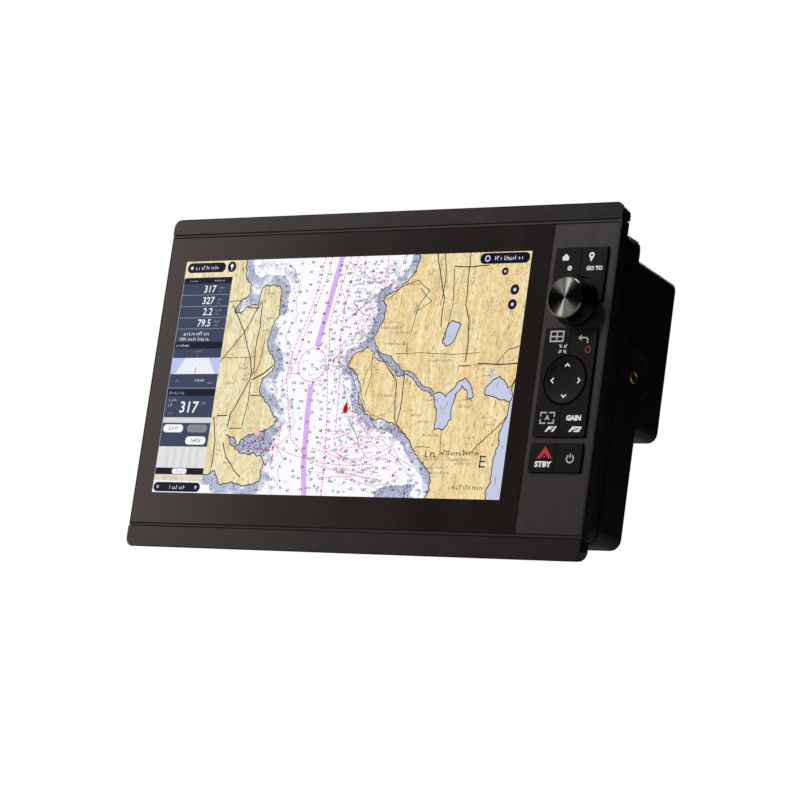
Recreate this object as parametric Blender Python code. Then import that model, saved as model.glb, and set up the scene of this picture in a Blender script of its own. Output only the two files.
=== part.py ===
"""A 9-inch chartplotter display: front frame, touch glass, keypad with knob, and a two-part case.

Every size below is in millimetres; `solid` turns a shape into metres when it makes the object.
The design frame has X to the right, Y from the glass towards the back, and Z up. Its y = 0 is the
outer face of the glass, and the empty `display` carries it to the row's origin, which is the
bottom centre of the whole display.
"""

import math

import bmesh
import bpy

MM = 0.001

# Front
FRONT_W = 256.0
FRONT_H = 159.0
CORNER_R = 4.0
FLANGE_BACK = 6.5
FRAME_HALF = FRONT_W / 2 - 0.5
GAP = 0.3

TRIM_FRONT = -0.3
TRIM_BACK = 6.2
TRIM_WALL = 1.1
DRAFT_SIDE = 0.4
DRAFT_END = 1.1
BOTTOM_TRIM_H = 9.6
TOP_TRIM_H = 7.5
RIB_BOTTOM = 9.8
RIB_TOP = FRONT_H - TOP_TRIM_H - 0.2
PANEL_BOTTOM = 11.5
PANEL_TOP = 149.7

# Screen
SCREEN_W = 199.2
SCREEN_H = 112.0
SCREEN_LEFT = -116.6
SCREEN_BOTTOM = 26.0
SCREEN_RIGHT = SCREEN_LEFT + SCREEN_W
SCREEN_TOP = SCREEN_BOTTOM + SCREEN_H
LCD_BORDER = 1.8
GLASS_T = 1.5
GLASS_RIGHT = 92.9

# Keypad
PLATE_LEFT = GLASS_RIGHT + GAP
PLATE_RIGHT = FRAME_HALF - 0.7
PLATE_T = 1.5
KEY_COLUMN_X = 109.4
KEY_HALF_W = 13.4
KEY_GAP = 0.4
KEY_FRONT = -1.0
KEY_BACK = 2.4
KEY_FLANGE = 0.8
KEY_CORNER_R = 0.8
STEM_X = 6.0
PLUNGER_R = 1.6
PLUNGER_END = 4.9
KEY_WINDOW = (94.6, 118.2, 36.9, 140.2)
MAT = (5.9, 6.9)
KEYPAD_BOARD = (7.2, 8.4)
KNOB_Z = 114.1
KNOB_CUT_R = 11.7
TOP_BLOCK_TOP = 138.6
PAD_Z = 79.2
PAD_R = 10.7
PAD_CUT_R = 11.3
PAD_BLOCK_TOP = 102.5
PAD_BLOCK_BOTTOM = 54.2
LOW_BLOCK_TOP = 51.2
LOW_BLOCK_BOTTOM = 38.5
PAD_PIVOT_Y = 4.0

# Knob
KNOB_FACE = -9.5
KNOB_R = 9.15
KNOB_SKIRT_R = 11.1
SHAFT_R = 2.9
BUSH_R = 4.4

# Case
MID_HALF = 123.3
MID_BOTTOM = 10.4
MID_TOP = 150.2
MID_FRONT = 5.9
MID_BACK = 18.4
MID_WALL = 2.2
MID_R = 6.0
MID_DRAFT = 0.3
REAR_FRONT = 19.3
RIM_BACK = 24.2
BAY_BACK = 40.1
BAY_TOP = 102.4
BOX_HALF = 118.5
BOX_BOTTOM = 65.4
BOX_TOP = 143.2
BOX_TOP_BACK = 139.6
BOX_BACK = 64.8
WALL = 2.5
FIN_DEPTH = 3.0
BOSS_Y = 32.6
BOSS_Z = 88.5
BOSS_R = 12.8
INSERT_R = 3.0
INSERT_LENGTH = 9.0
BOSS_RECESS = 1.3
BOX_WALL_BACK = BOX_BACK - FIN_DEPTH - WALL
BAY_HALF = MID_HALF - 0.9
BAY_BOTTOM = MID_BOTTOM + 1.6
HEAD_R = 3.5
HEAD_H = 2.4
CASE_SCREWS = [(-112.0, 20.0), (112.0, 20.0), (-112.0, 133.0), (112.0, 133.0)]
PANEL_HOLES = [(-116.0, 5.5), (116.0, 5.5), (-116.0, 154.3), (116.0, 154.3)]
PANEL_HOLE_R = 2.2

# Connector panel
SOCKET_BACK = 33.0
SOCKET_Z = 38.0
POWER_X = -92.0
SOUNDER_X = -58.0
NETWORK_X = -20.0
DATA_X = 14.0
SOCKET_R = 10.0
NETWORK_R = 11.0
DATA_R = 6.0
SOCKET_REACH = 50.5
DATA_REACH = 51.0
HARDWARE_X = 101.0
GROUND_Z = 24.0
VENT_Z = 48.0
PANEL_FRONT = BAY_BACK - WALL - 1.5
PANEL_REACH = BAY_BACK + 4.0
SEAL_FACE = BAY_BACK + GAP
DOOR_LEFT = 38.0
DOOR_RIGHT = 82.0
DOOR_BOTTOM = 27.2
DOOR_TOP = 49.0
DOOR_HINGE_Y = 42.3
DOOR_HINGE_Z = 25.4
DOOR_LUGS = (42.0, 74.0)
LUG_W = 4.0
LUG_R = 1.6
PIN_R = 0.75

# Inside the case
MAIN_BOARD = (44.0, 45.6)
CONNECTOR_BOARD = (31.0, 32.7)
BOARD_POSTS = [(-94.0, 76.0), (94.0, 76.0), (-94.0, 128.0), (94.0, 128.0)]

FACE_Y = -(BOX_BACK + KNOB_FACE) / 2

COLOURS = {
    "black_plastic": ((0.012, 0.012, 0.013), 0.5, 0.0),
    "black_cast": ((0.010, 0.010, 0.011), 0.55, 0.3),
    "trim": ((0.040, 0.038, 0.037), 0.42, 0.6),
    "keypad_plate": ((0.052, 0.049, 0.048), 0.45, 0.6),
    "glass": ((0.02, 0.018, 0.017), 0.08, 0.0),
    "lcd": ((0.75, 0.72, 0.60), 0.4, 0.0),
    "keys": ((0.016, 0.016, 0.017), 0.55, 0.0),
    "rubber": ((0.008, 0.008, 0.008), 0.8, 0.0),
    "metal": ((0.55, 0.55, 0.56), 0.35, 1.0),
    "knob_face": ((0.30, 0.30, 0.30), 0.25, 1.0),
    "brass": ((0.72, 0.46, 0.16), 0.3, 1.0),
    "board": ((0.01, 0.12, 0.05), 0.5, 0.0),
    "tape": ((0.02, 0.02, 0.02), 0.9, 0.0),
}


# ---------------------------------------------------------------- making meshes


def clear_scene():
    for obj in list(bpy.data.objects):
        bpy.data.objects.remove(obj)


def material(kind):
    found = bpy.data.materials.get(kind)
    if found:
        return found
    colour, roughness, metallic = COLOURS[kind]
    made = bpy.data.materials.new(kind)
    made.use_nodes = True
    shader = made.node_tree.nodes["Principled BSDF"]
    shader.inputs["Base Color"].default_value = (*colour, 1.0)
    shader.inputs["Roughness"].default_value = roughness
    shader.inputs["Metallic"].default_value = metallic
    return made


def solid(name, points, faces, kind="black_plastic", origin=(0, 0, 0)):
    """One object from points in the design frame; `origin` is where its own origin sits."""
    bm = bmesh.new()
    verts = [bm.verts.new([(p - o) * MM for p, o in zip(point, origin)]) for point in points]
    for face in faces:
        bm.faces.new([verts[i] for i in face])
    bmesh.ops.recalc_face_normals(bm, faces=bm.faces)
    mesh = bpy.data.meshes.new(name)
    bm.to_mesh(mesh)
    bm.free()
    mesh.materials.append(material(kind))
    obj = bpy.data.objects.new(name, mesh)
    obj.location = [o * MM for o in origin]
    bpy.context.scene.collection.objects.link(obj)
    obj.parent = bpy.data.objects["display"]
    return obj


def smooth(obj, angle=35):
    obj.data.shade_smooth()
    obj.data.set_sharp_from_angle(angle=math.radians(angle))
    return obj


def loft(name, sections, kind="black_plastic", origin=(0, 0, 0)):
    """A solid through outlines that all have the same number of points, capped at both ends."""
    count = len(sections[0])
    points = [point for section in sections for point in section]
    faces = [list(range(count)), list(range(len(points) - count, len(points)))]
    for s in range(len(sections) - 1):
        for i in range(count):
            a, b = s * count + i, s * count + (i + 1) % count
            faces.append([a, b, b + count, a + count])
    return solid(name, points, faces, kind, origin)


def rounded(x0, x1, z0, z1, radii=0.0, steps=4):
    """A rectangle with rounded corners as (x, z) points. `radii` is one number, or four from
    the lower left going anticlockwise; a corner with radius 0 is one point."""
    if not isinstance(radii, (list, tuple)):
        radii = [radii] * 4
    corners = [(x0, z0, 1, 1, 180), (x1, z0, -1, 1, 270), (x1, z1, -1, -1, 0), (x0, z1, 1, -1, 90)]
    points = []
    for (x, z, dx, dz, start), r in zip(corners, radii):
        if r <= 0:
            points.append((x, z))
            continue
        for i in range(steps + 1):
            a = math.radians(start + 90 * i / steps)
            points.append((x + dx * r + r * math.cos(a), z + dz * r + r * math.sin(a)))
    return points


def at_depth(outline, y):
    return [(x, y, z) for x, z in outline]


def slab(name, x0, x1, y0, y1, z0, z1, kind="black_plastic", r=0.0, chamfer=0.0, origin=(0, 0, 0)):
    """A block from y0 to y1 with rounded corners and, if asked, chamfered front and back edges."""
    full = rounded(x0, x1, z0, z1, r)
    if not chamfer:
        return loft(name, [at_depth(full, y0), at_depth(full, y1)], kind, origin)
    small_r = max(r - chamfer, 0.05) if r else 0.0
    small = rounded(x0 + chamfer, x1 - chamfer, z0 + chamfer, z1 - chamfer, small_r)
    sections = [
        at_depth(small, y0),
        at_depth(full, y0 + chamfer),
        at_depth(full, y1 - chamfer),
        at_depth(small, y1),
    ]
    return loft(name, sections, kind, origin)


def turned(name, profile, centre, kind="metal", axis="Y", steps=28, origin=None):
    """A round piece from a closed profile of (radius, position along the axis) points. A point
    with radius 0 lies on the axis. `centre` is where the axis crosses the position's zero."""
    rings = []
    points = []
    for radius, along in profile:
        ring = []
        count = 1 if radius == 0 else steps
        for i in range(count):
            a = 2 * math.pi * i / steps
            u, v = radius * math.cos(a), radius * math.sin(a)
            offset = (u, along, v) if axis == "Y" else (along, u, v)
            ring.append(len(points))
            points.append([c + o for c, o in zip(centre, offset)])
        rings.append(ring)
    faces = []
    for a, b in zip(rings, rings[1:] + rings[:1]):
        if len(a) == 1 and len(b) == 1:
            continue
        for i in range(steps):
            j = (i + 1) % steps
            corners = [a[i % len(a)], a[j % len(a)], b[j % len(b)], b[i % len(b)]]
            faces.append(list(dict.fromkeys(corners)))
    return smooth(solid(name, points, faces, kind, centre if origin is None else origin))


def cylinder(name, x, z, y0, y1, r, kind="metal", steps=24, origin=None):
    return turned(name, [(0, y0), (r, y0), (r, y1), (0, y1)], (x, 0, z), kind, "Y", steps, origin)


def boolean(target, other, operation):
    step = target.modifiers.new(operation.lower(), "BOOLEAN")
    step.operation = operation
    step.solver = "EXACT"
    step.object = other
    other.hide_render = True
    other.display_type = "WIRE"
    return target


def cut(target, *cutters):
    for cutter in cutters:
        boolean(target, cutter, "DIFFERENCE")
    return target


def join(target, *others):
    for other in others:
        boolean(target, other, "UNION")
    return target


# ---------------------------------------------------------------- front frame and trims


def front_frame():
    """The moulded frame: two ribs, a pocket for the glass and plate, and the mounting flange."""
    half = FRAME_HALF
    face = rounded(-half, half, RIB_BOTTOM, RIB_TOP, 0.6)
    back = rounded(-half + DRAFT_SIDE, half - DRAFT_SIDE, RIB_BOTTOM, RIB_TOP, 0.6)
    body = loft("front_frame", [at_depth(face, 0), at_depth(back, FLANGE_BACK)])
    inset = TRIM_WALL + GAP
    core_half = FRONT_W / 2 - inset
    core_face = rounded(-core_half, core_half, inset, FRONT_H - inset, 2.6)
    core_half -= DRAFT_SIDE
    inset += DRAFT_END
    core_back = rounded(-core_half, core_half, inset, FRONT_H - inset, 2.6)
    core = loft("frame_core", [at_depth(core_face, 1.3), at_depth(core_back, FLANGE_BACK)])
    join(body, core)
    pocket = slab("frame_pocket", -half + 0.4, half - 0.4, -1, 2.4, RIB_BOTTOM + 1.4, RIB_TOP - 1.3, r=0.6)
    left, right, low, high = lcd_edges(GAP)
    window = slab("frame_lcd_window", left, right, 1, 8, low, high)
    left, right, low, high = KEY_WINDOW
    key_pocket = slab("frame_key_pocket", left, right + 6.6, 1, 3.6, low, high)
    key_window = slab("frame_key_window", left, right, 3, 8, low, high)
    seat = slab("frame_seat", -MID_HALF - 0.8, MID_HALF + 0.8, 5.6, 8, MID_BOTTOM - 0.6, MID_TOP + 0.6, r=6)
    groove = ring("frame_groove", MID_HALF - 0.3, 1.6, 4.4, 6.2)
    cut(body, pocket, window, key_pocket, key_window, seat, groove)
    for i, (x, z) in enumerate(PANEL_HOLES):
        cut(body, cylinder(f"panel_hole_{i}", x, z, 0, 8, PANEL_HOLE_R, steps=16))
    return body


def lcd_edges(margin):
    """Left, right, bottom and top of the LCD module, moved out by `margin`."""
    grow = LCD_BORDER + margin
    return SCREEN_LEFT - grow, SCREEN_RIGHT + grow, SCREEN_BOTTOM - grow, SCREEN_TOP + grow


def ring(name, half_w, width, y0, y1, kind="rubber"):
    """A rectangular ring concentric with the case, such as a seal or the groove for one."""
    drop = MID_HALF - half_w
    low, high = MID_BOTTOM + drop, MID_TOP - drop
    outer = rounded(-half_w, half_w, low, high, 5.0)
    inner = rounded(-half_w + width, half_w - width, low + width, high - width, 5.0 - width)
    count = len(outer)
    points = [p for line in (outer, inner) for y in (y0, y1) for p in at_depth(line, y)]
    faces = []
    for i in range(count):
        j = (i + 1) % count
        faces.append([i, j, j + count, i + count])
        faces.append([i + 2 * count, j + 2 * count, j + 3 * count, i + 3 * count])
        faces.append([i, j, j + 2 * count, i + 2 * count])
        faces.append([i + count, j + count, j + 3 * count, i + 3 * count])
    return solid(name, points, faces, kind)


def trim(name, z0, z1, outer_below):
    """A snap-on strip that wraps the frame's edge and hides two of the mounting screws."""
    radii = [CORNER_R, CORNER_R, 0, 0] if outer_below else [0, 0, CORNER_R, CORNER_R]
    chamfer = 0.5
    corner = [r - chamfer if r else 0 for r in radii]
    face = edge_outline(chamfer, z0, z1, corner, outer_below)
    edge = edge_outline(0, z0, z1, radii, outer_below)
    back = edge_outline(0, z0, z1, radii, outer_below, drafted=True)
    sections = [at_depth(face, TRIM_FRONT), at_depth(edge, TRIM_FRONT + chamfer), at_depth(back, TRIM_BACK)]
    strip = loft(name, sections, "trim")
    inner_r = [max(r - TRIM_WALL, 0) for r in radii]
    past = 5
    low, high = (z0, z1 + past) if outer_below else (z0 - past, z1)
    front = edge_outline(TRIM_WALL, low, high, inner_r, outer_below)
    rear = edge_outline(TRIM_WALL, low, high, inner_r, outer_below, drafted=True)
    return cut(strip, loft(f"{name}_hollow", [at_depth(front, 1.0), at_depth(rear, TRIM_BACK + 0.8)]))


def edge_outline(inset, z0, z1, radii, outer_below, drafted=False):
    """A trim strip's outline. Draft draws the ends and the outer edge in towards the back."""
    half = FRONT_W / 2 - inset - (DRAFT_SIDE if drafted else 0)
    move = inset + (DRAFT_END if drafted else 0)
    low = z0 + (move if outer_below else 0)
    high = z1 - (0 if outer_below else move)
    return rounded(-half, half, low, high, radii)


def glass_stack():
    """The touch glass, the tape that holds it, the LCD and its backlight."""
    slab("front_glass", -FRAME_HALF + 0.7, GLASS_RIGHT, 0, GLASS_T, PANEL_BOTTOM, PANEL_TOP, "glass", r=0.8)
    tape = slab("glass_tape", -FRAME_HALF + 1.2, GLASS_RIGHT - 0.6, 1.8, 2.1, 12.2, 149.0, "tape", r=1)
    left, right, low, high = lcd_edges(GAP)
    cut(tape, slab("tape_window", left, right, 0, 4, low, high))
    left, right, low, high = lcd_edges(0)
    slab("lcd_panel", left, right, 1.8, 3.0, low, high, "lcd")
    slab("lcd_backlight", left, right, 3.3, 5.5, low, high, "metal", r=0.8)


# ---------------------------------------------------------------- keypad


def corner_outline(side_x, side_z, centre_z, width, height, cut_r, grow=0.0):
    """A key that fills one corner of a block and curves round a disc at the block's centre.
    `side_x` and `side_z` are -1 or 1 and say which corner."""
    edge = KEY_GAP / 2
    start = math.asin(edge / cut_r)
    steps = 10
    points = []
    for i in range(steps + 1):
        a = start + (math.pi / 2 - 2 * start) * i / steps
        points.append((cut_r * math.cos(a), cut_r * math.sin(a)))
    wide, tall = width + grow, height + grow
    r = KEY_CORNER_R
    points.append((edge, tall))
    for i in range(4):
        a = math.pi / 2 * (1 - i / 3)
        points.append((wide - r + r * math.cos(a), tall - r + r * math.sin(a)))
    points.append((wide, edge))
    return [(KEY_COLUMN_X + side_x * u, centre_z + side_z * v) for u, v in points]


def key(name, cap, flange, plunger):
    """A keycap with the flange that keeps it behind the plate and the stem that presses the mat."""
    x, z = plunger
    origin = (x, KEY_FRONT, z)
    made = loft(name, [at_depth(cap, KEY_FRONT), at_depth(cap, KEY_BACK)], "keys", origin)
    foot = loft(f"{name}_flange", [at_depth(flange, 1.8), at_depth(flange, 2.6)])
    stem = cylinder(f"{name}_stem", x, z, 2.0, PLUNGER_END, PLUNGER_R, steps=12)
    return join(made, foot, stem)


def keys():
    blocks = [
        ("home_key", -1, 1, KNOB_Z, TOP_BLOCK_TOP - KNOB_Z, KNOB_CUT_R),
        ("waypoint_key", 1, 1, KNOB_Z, TOP_BLOCK_TOP - KNOB_Z, KNOB_CUT_R),
        ("layout_key", -1, 1, PAD_Z, PAD_BLOCK_TOP - PAD_Z, PAD_CUT_R),
        ("back_key", 1, 1, PAD_Z, PAD_BLOCK_TOP - PAD_Z, PAD_CUT_R),
        ("centre_key", -1, -1, PAD_Z, PAD_Z - PAD_BLOCK_BOTTOM, PAD_CUT_R),
        ("gain_key", 1, -1, PAD_Z, PAD_Z - PAD_BLOCK_BOTTOM, PAD_CUT_R),
    ]
    for name, side_x, side_z, centre_z, height, cut_r in blocks:
        cap = corner_outline(side_x, side_z, centre_z, KEY_HALF_W, height, cut_r)
        flange = corner_outline(side_x, side_z, centre_z, KEY_HALF_W, height, cut_r, KEY_FLANGE)
        stem = (KEY_COLUMN_X + side_x * STEM_X, centre_z + side_z * (height - 5.5))
        key(name, cap, flange, stem)
    for name, side_x in (("autopilot_key", -1), ("power_key", 1)):
        inner = KEY_COLUMN_X + side_x * KEY_GAP / 2
        outer = KEY_COLUMN_X + side_x * KEY_HALF_W
        wide = outer + side_x * KEY_FLANGE
        cap = rounded(*sorted((inner, outer)), LOW_BLOCK_BOTTOM, LOW_BLOCK_TOP, KEY_CORNER_R, 3)
        flange = rounded(*sorted((inner, wide)), LOW_BLOCK_BOTTOM - KEY_FLANGE, LOW_BLOCK_TOP + 0.5)
        key(name, cap, flange, (KEY_COLUMN_X + side_x * STEM_X, (LOW_BLOCK_BOTTOM + LOW_BLOCK_TOP) / 2))


def keypad_plate():
    """The metal plate beside the glass, with a window for each block of keys."""
    top, bottom = PANEL_TOP, PANEL_BOTTOM
    plate = slab("keypad_plate", PLATE_LEFT, PLATE_RIGHT, 0, PLATE_T, bottom, top, "keypad_plate", r=0.8)
    left, right = KEY_COLUMN_X - KEY_HALF_W - GAP, KEY_COLUMN_X + KEY_HALF_W + GAP
    low, high = KNOB_Z - 0.1, TOP_BLOCK_TOP + GAP
    window = [(left, low), (left, high), (right, high), (right, low)]
    radius, steps = KNOB_CUT_R - GAP, 20
    for i in range(steps + 1):
        a = math.pi * i / steps
        window.append((KEY_COLUMN_X + radius * math.cos(a), low + radius * math.sin(a)))
    cut(plate, loft("plate_top_window", [at_depth(window, -1), at_depth(window, 3)]))
    for low, high in ((PAD_BLOCK_BOTTOM, PAD_BLOCK_TOP), (LOW_BLOCK_BOTTOM, LOW_BLOCK_TOP)):
        cut(plate, slab(f"plate_window_{low}", left, right, -1, 3, low - GAP, high + GAP, r=KEY_CORNER_R))
    cut(plate, cylinder("plate_bush_hole", KEY_COLUMN_X, KNOB_Z, -1, 3, BUSH_R + GAP))
    return plate


def cursor_pad():
    """The round pad, dished on its face, and the pivot that it rocks on."""
    pivot = (KEY_COLUMN_X, PAD_PIVOT_Y, PAD_Z)
    face = [(0, -0.6), (4, -0.68), (7.5, -0.9), (9.6, -1.25), (10.3, -1.3), (PAD_R, -0.9)]
    back = [(PAD_R, 2.9), (4.4, 2.9), (4.4, 1.5), (0, 1.5)]
    turned("cursor_pad", face + back, (KEY_COLUMN_X, 0, PAD_Z), "keys", steps=40, origin=pivot)
    post = [(0, 1.9), (3.4, 1.9), (3.4, 3.2), (2.2, 4.0), (2.2, 5.2), (1.2, 5.6), (0, 5.6)]
    turned("cursor_pivot", post, (KEY_COLUMN_X, 0, PAD_Z), "keys", steps=24, origin=pivot)


def keypad_inside():
    """The silicone mat and circuit board clamped behind the frame's key window."""
    left, right, low, high = KEY_WINDOW
    lap = 1.8
    mat = slab("keypad_mat", left - lap, right + lap, *MAT, low - lap, high + lap, "rubber", r=1.0)
    slab("keypad_board", left - lap, right + lap, *KEYPAD_BOARD, low - lap, high + lap, "board", r=1.0)
    cut(mat, square("mat_encoder_hole", KEY_COLUMN_X, KNOB_Z, 6.8, 5, 8))


def square(name, x, z, half, y0, y1, kind="metal", r=0.0):
    return slab(name, x - half, x + half, y0, y1, z - half, z + half, kind, r=r)


def knob():
    """The rotary encoder on the keypad board, and the knob on its shaft."""
    centre = (KEY_COLUMN_X, 0, KNOB_Z)
    case = square("encoder_body", KEY_COLUMN_X, KNOB_Z, 6.2, 2.9, 6.9, r=0.6)
    join(case, cylinder("encoder_bush", KEY_COLUMN_X, KNOB_Z, -1.7, 4, BUSH_R))
    cut(case, cylinder("encoder_bore", KEY_COLUMN_X, KNOB_Z, -4, 6.2, SHAFT_R + 0.15))
    nut = [(BUSH_R + 0.2, -1.5), (6.6, -1.5), (6.6, -GAP), (BUSH_R + 0.2, -GAP)]
    turned("encoder_nut", nut, centre, steps=24)
    plunger = [(0, 4.4), (2.4, 4.4), (2.4, 5.5), (0, 5.5)]
    turned("encoder_plunger", plunger, centre, "black_plastic", steps=24)
    shaft = [(0, -7.4), (2.6, -7.4), (SHAFT_R, -7.1), (SHAFT_R, 4.1), (0, 4.1)]
    turned("encoder_shaft", shaft, centre)
    outside = [(0, -8.3), (KNOB_R - 0.2, -8.3), (KNOB_R, -8.1), (KNOB_R + 0.3, -5.6), (KNOB_R + 1.0, -3.4)]
    skirt = [(KNOB_SKIRT_R, -2.0), (KNOB_SKIRT_R, -1.2), (KNOB_SKIRT_R - 0.2, -1.0)]
    inside = [(8.2, -1.0), (8.2, -6.6), (5.2, -6.6), (5.2, -2.5)]
    bore = [(SHAFT_R + 0.15, -2.5), (SHAFT_R + 0.15, -7.7), (0, -7.7)]
    turned("knob_body", outside + skirt + inside + bore, centre, "black_plastic", steps=40)
    cap = [(0, KNOB_FACE), (KNOB_R - 0.5, KNOB_FACE), (KNOB_R, KNOB_FACE + 0.4), (KNOB_R, -8.6), (0, -8.6)]
    turned("knob_cap", cap, centre, "knob_face", steps=40)


# ---------------------------------------------------------------- case


def mid_outline(inset, drop):
    """The case's outline; `drop` is how far its draft has drawn it in at that depth."""
    shrink = inset + drop
    half = MID_HALF - shrink
    return rounded(-half, half, MID_BOTTOM + shrink, MID_TOP - shrink - drop, MID_R - inset)


def mid_frame():
    """The ring between the front frame and the rear case, with four posts for the case screws."""
    outside = [at_depth(mid_outline(0, 0), MID_FRONT), at_depth(mid_outline(0, MID_DRAFT), MID_BACK)]
    shell = loft("mid_frame", outside, "black_cast")
    hollow = [at_depth(mid_outline(MID_WALL, 0), 5), at_depth(mid_outline(MID_WALL, MID_DRAFT), 22)]
    cut(shell, loft("mid_hollow", hollow))
    for i, (x, z) in enumerate(CASE_SCREWS):
        side = 1 if x > 0 else -1
        span = sorted((x - side * 4.5, side * (MID_HALF - 1.4)))
        join(shell, slab(f"mid_post_{i}", *span, 11, MID_BACK, z - 4.5, z + 4.5, r=2))
    for i, (x, z) in enumerate(CASE_SCREWS):
        cut(shell, cylinder(f"mid_post_hole_{i}", x, z, 12.6, 24, 1.9, steps=16))
    return shell


def rear_outer():
    """The rear casting's outer form: rim, connector bay, electronics box and bracket bosses."""
    rim_front, rim_back = mid_outline(0, MID_DRAFT), mid_outline(0, MID_DRAFT + 0.1)
    rim = loft("rear_case", [at_depth(rim_front, REAR_FRONT), at_depth(rim_back, RIM_BACK)], "black_cast")
    side, low, inset = BAY_HALF, BAY_BOTTOM, 1.2
    full = rounded(-side, side, low, BAY_TOP, [5, 5, 3, 3])
    side, low = side - inset, low + inset
    small = rounded(-side, side, low, BAY_TOP - 2 * inset, [3.8, 3.8, 1.8, 1.8])
    sections = [at_depth(full, 22), at_depth(full, BAY_BACK - inset), at_depth(small, BAY_BACK)]
    bay = loft("rear_bay", sections)
    box_sections = []
    for y, inset in ((22, 0), (BOX_BACK - 1.6, 0), (BOX_BACK, 1.6)):
        share = (y - RIM_BACK) / (BOX_BACK - RIM_BACK)
        top = BOX_TOP + (BOX_TOP_BACK - BOX_TOP) * share - inset
        half = BOX_HALF - inset
        box_sections.append(at_depth(rounded(-half, half, BOX_BOTTOM + inset, top, 4.5 - inset), y))
    box = loft("rear_box", box_sections)
    join(rim, bay, box)
    for side_x in (-1, 1):
        inner, outer = sorted((side_x * 112.0, side_x * MID_HALF))
        profile = [(0, inner), (BOSS_R, inner), (BOSS_R, outer), (0, outer)]
        join(rim, turned(f"rear_boss_{side_x}", profile, (0, BOSS_Y, BOSS_Z), axis="X", steps=32))
    return cut(rim, slab("rear_parting", -130, 130, 10, REAR_FRONT, 60, 120))


def rear_case():
    """The rear casting, hollowed, with its screw tubes, board posts, fins and holes."""
    case = rear_outer()
    cut(case, rear_hollow())
    for i, (x, z) in enumerate(CASE_SCREWS):
        screw_tube(case, i, x, z)
    for i, (x, z) in enumerate(BOARD_POSTS):
        join(case, cylinder(f"board_post_{i}", x, z, MAIN_BOARD[1] + GAP, BOX_WALL_BACK + 1, 3.0, steps=12))
    for side in (-1, 1):
        bracket_hole(case, side)
    cut(case, fins())
    connector_holes(case)
    door_lugs(case)
    return case


def rear_hollow():
    side, low = BAY_HALF - WALL, BAY_BOTTOM + WALL
    rim_space = slab("rear_rim_space", -side, side, 18, RIM_BACK - WALL, low, 144, r=4)
    bay_space = slab("rear_bay_space", -side, side, 18, BAY_BACK - WALL, low, BAY_TOP - WALL, r=3)
    side, low, high = BOX_HALF - WALL, BOX_BOTTOM + WALL, BOX_TOP_BACK - WALL
    box_space = slab("rear_box_space", -side, side, 18, BOX_WALL_BACK, low, high, r=3)
    return join(box_space, rim_space, bay_space)


def in_box(z):
    """Whether a case screw at this height enters through the box, not through the bay."""
    return z > BOX_BOTTOM


def head_seat(z):
    return 33.0 if in_box(z) else 35.0


def screw_tube(case, i, x, z):
    """A square tube from the parting to the back wall, with the deep hole of a case screw."""
    end = BOX_WALL_BACK + 1 if in_box(z) else BAY_BACK - 0.6
    wall = BOX_HALF if in_box(z) else BAY_HALF
    side = 1 if x > 0 else -1
    span = sorted((x - side * 5.6, side * (wall - WALL / 2)))
    join(case, slab(f"screw_tube_{i}", *span, REAR_FRONT, end, z - 5.6, z + 5.6, r=2.5))
    cut(case, cylinder(f"screw_well_{i}", x, z, head_seat(z), 70, 4.0, steps=20))
    cut(case, cylinder(f"screw_way_{i}", x, z, 18, 36, 2.0, steps=16))


def side_turned(name, side, profile, steps=24, kind="metal"):
    """A round piece on the bracket's axis, its profile measured outwards from the middle."""
    placed = [(radius, side * along) for radius, along in profile]
    return turned(name, placed, (0, BOSS_Y, BOSS_Z), kind, axis="X", steps=steps)


def bracket_hole(case, side):
    """The post, recess and hole that take a bracket's threaded insert."""
    post = [(0, 110), (6.4, 110), (6.4, MID_HALF - 1.8), (0, MID_HALF - 1.8)]
    join(case, side_turned(f"insert_post_{side}", side, post, 20))
    floor, past = MID_HALF - BOSS_RECESS, MID_HALF + 1
    recess = [(0, floor), (BOSS_R - 2.4, floor), (BOSS_R - 1.8, past), (0, past)]
    start, radius = MID_HALF - INSERT_LENGTH - 1, INSERT_R + 0.15
    hole = [(0, start), (radius, start), (radius, past), (0, past)]
    cut(case, side_turned(f"boss_recess_{side}", side, recess, 28))
    cut(case, side_turned(f"boss_hole_{side}", side, hole, 28))


def connector_holes(case):
    sockets = ((POWER_X, SOCKET_R), (SOUNDER_X, SOCKET_R), (NETWORK_X, NETWORK_R), (DATA_X, DATA_R))
    for x, r in sockets:
        cut(case, cylinder(f"socket_hole_{x}", x, SOCKET_Z, PANEL_FRONT, PANEL_REACH, r + GAP, steps=28))
    cut(case, slab("card_opening", 42, 78, PANEL_FRONT, PANEL_REACH, 30, 46, r=1.0))
    cut(case, cylinder("ground_hole", HARDWARE_X, GROUND_Z, PANEL_FRONT, PANEL_REACH, 2.0, steps=16))
    cut(case, cylinder("vent_hole", HARDWARE_X, VENT_Z, PANEL_FRONT, PANEL_REACH, 3.6, steps=20))


def on_door_axis(name, profile, kind="metal", steps=16):
    return turned(name, profile, (0, DOOR_HINGE_Y, DOOR_HINGE_Z), kind, axis="X", steps=steps)


def rod(radius, start, end):
    """The profile of a plain round rod."""
    return [(0, start), (radius, start), (radius, end), (0, end)]


def door_lugs(case):
    low, high = DOOR_HINGE_Z - LUG_R + 0.2, DOOR_HINGE_Z + LUG_R - 0.2
    for i, x in enumerate(DOOR_LUGS):
        join(case, slab(f"door_lug_{i}", x + 0.1, x + LUG_W - 0.1, BAY_BACK - 1, DOOR_HINGE_Y, low, high))
        join(case, on_door_axis(f"door_eye_{i}", rod(LUG_R, x, x + LUG_W), steps=20))
    cut(case, on_door_axis("door_pin_way", rod(PIN_R + 0.25, 30, 90)))


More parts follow.
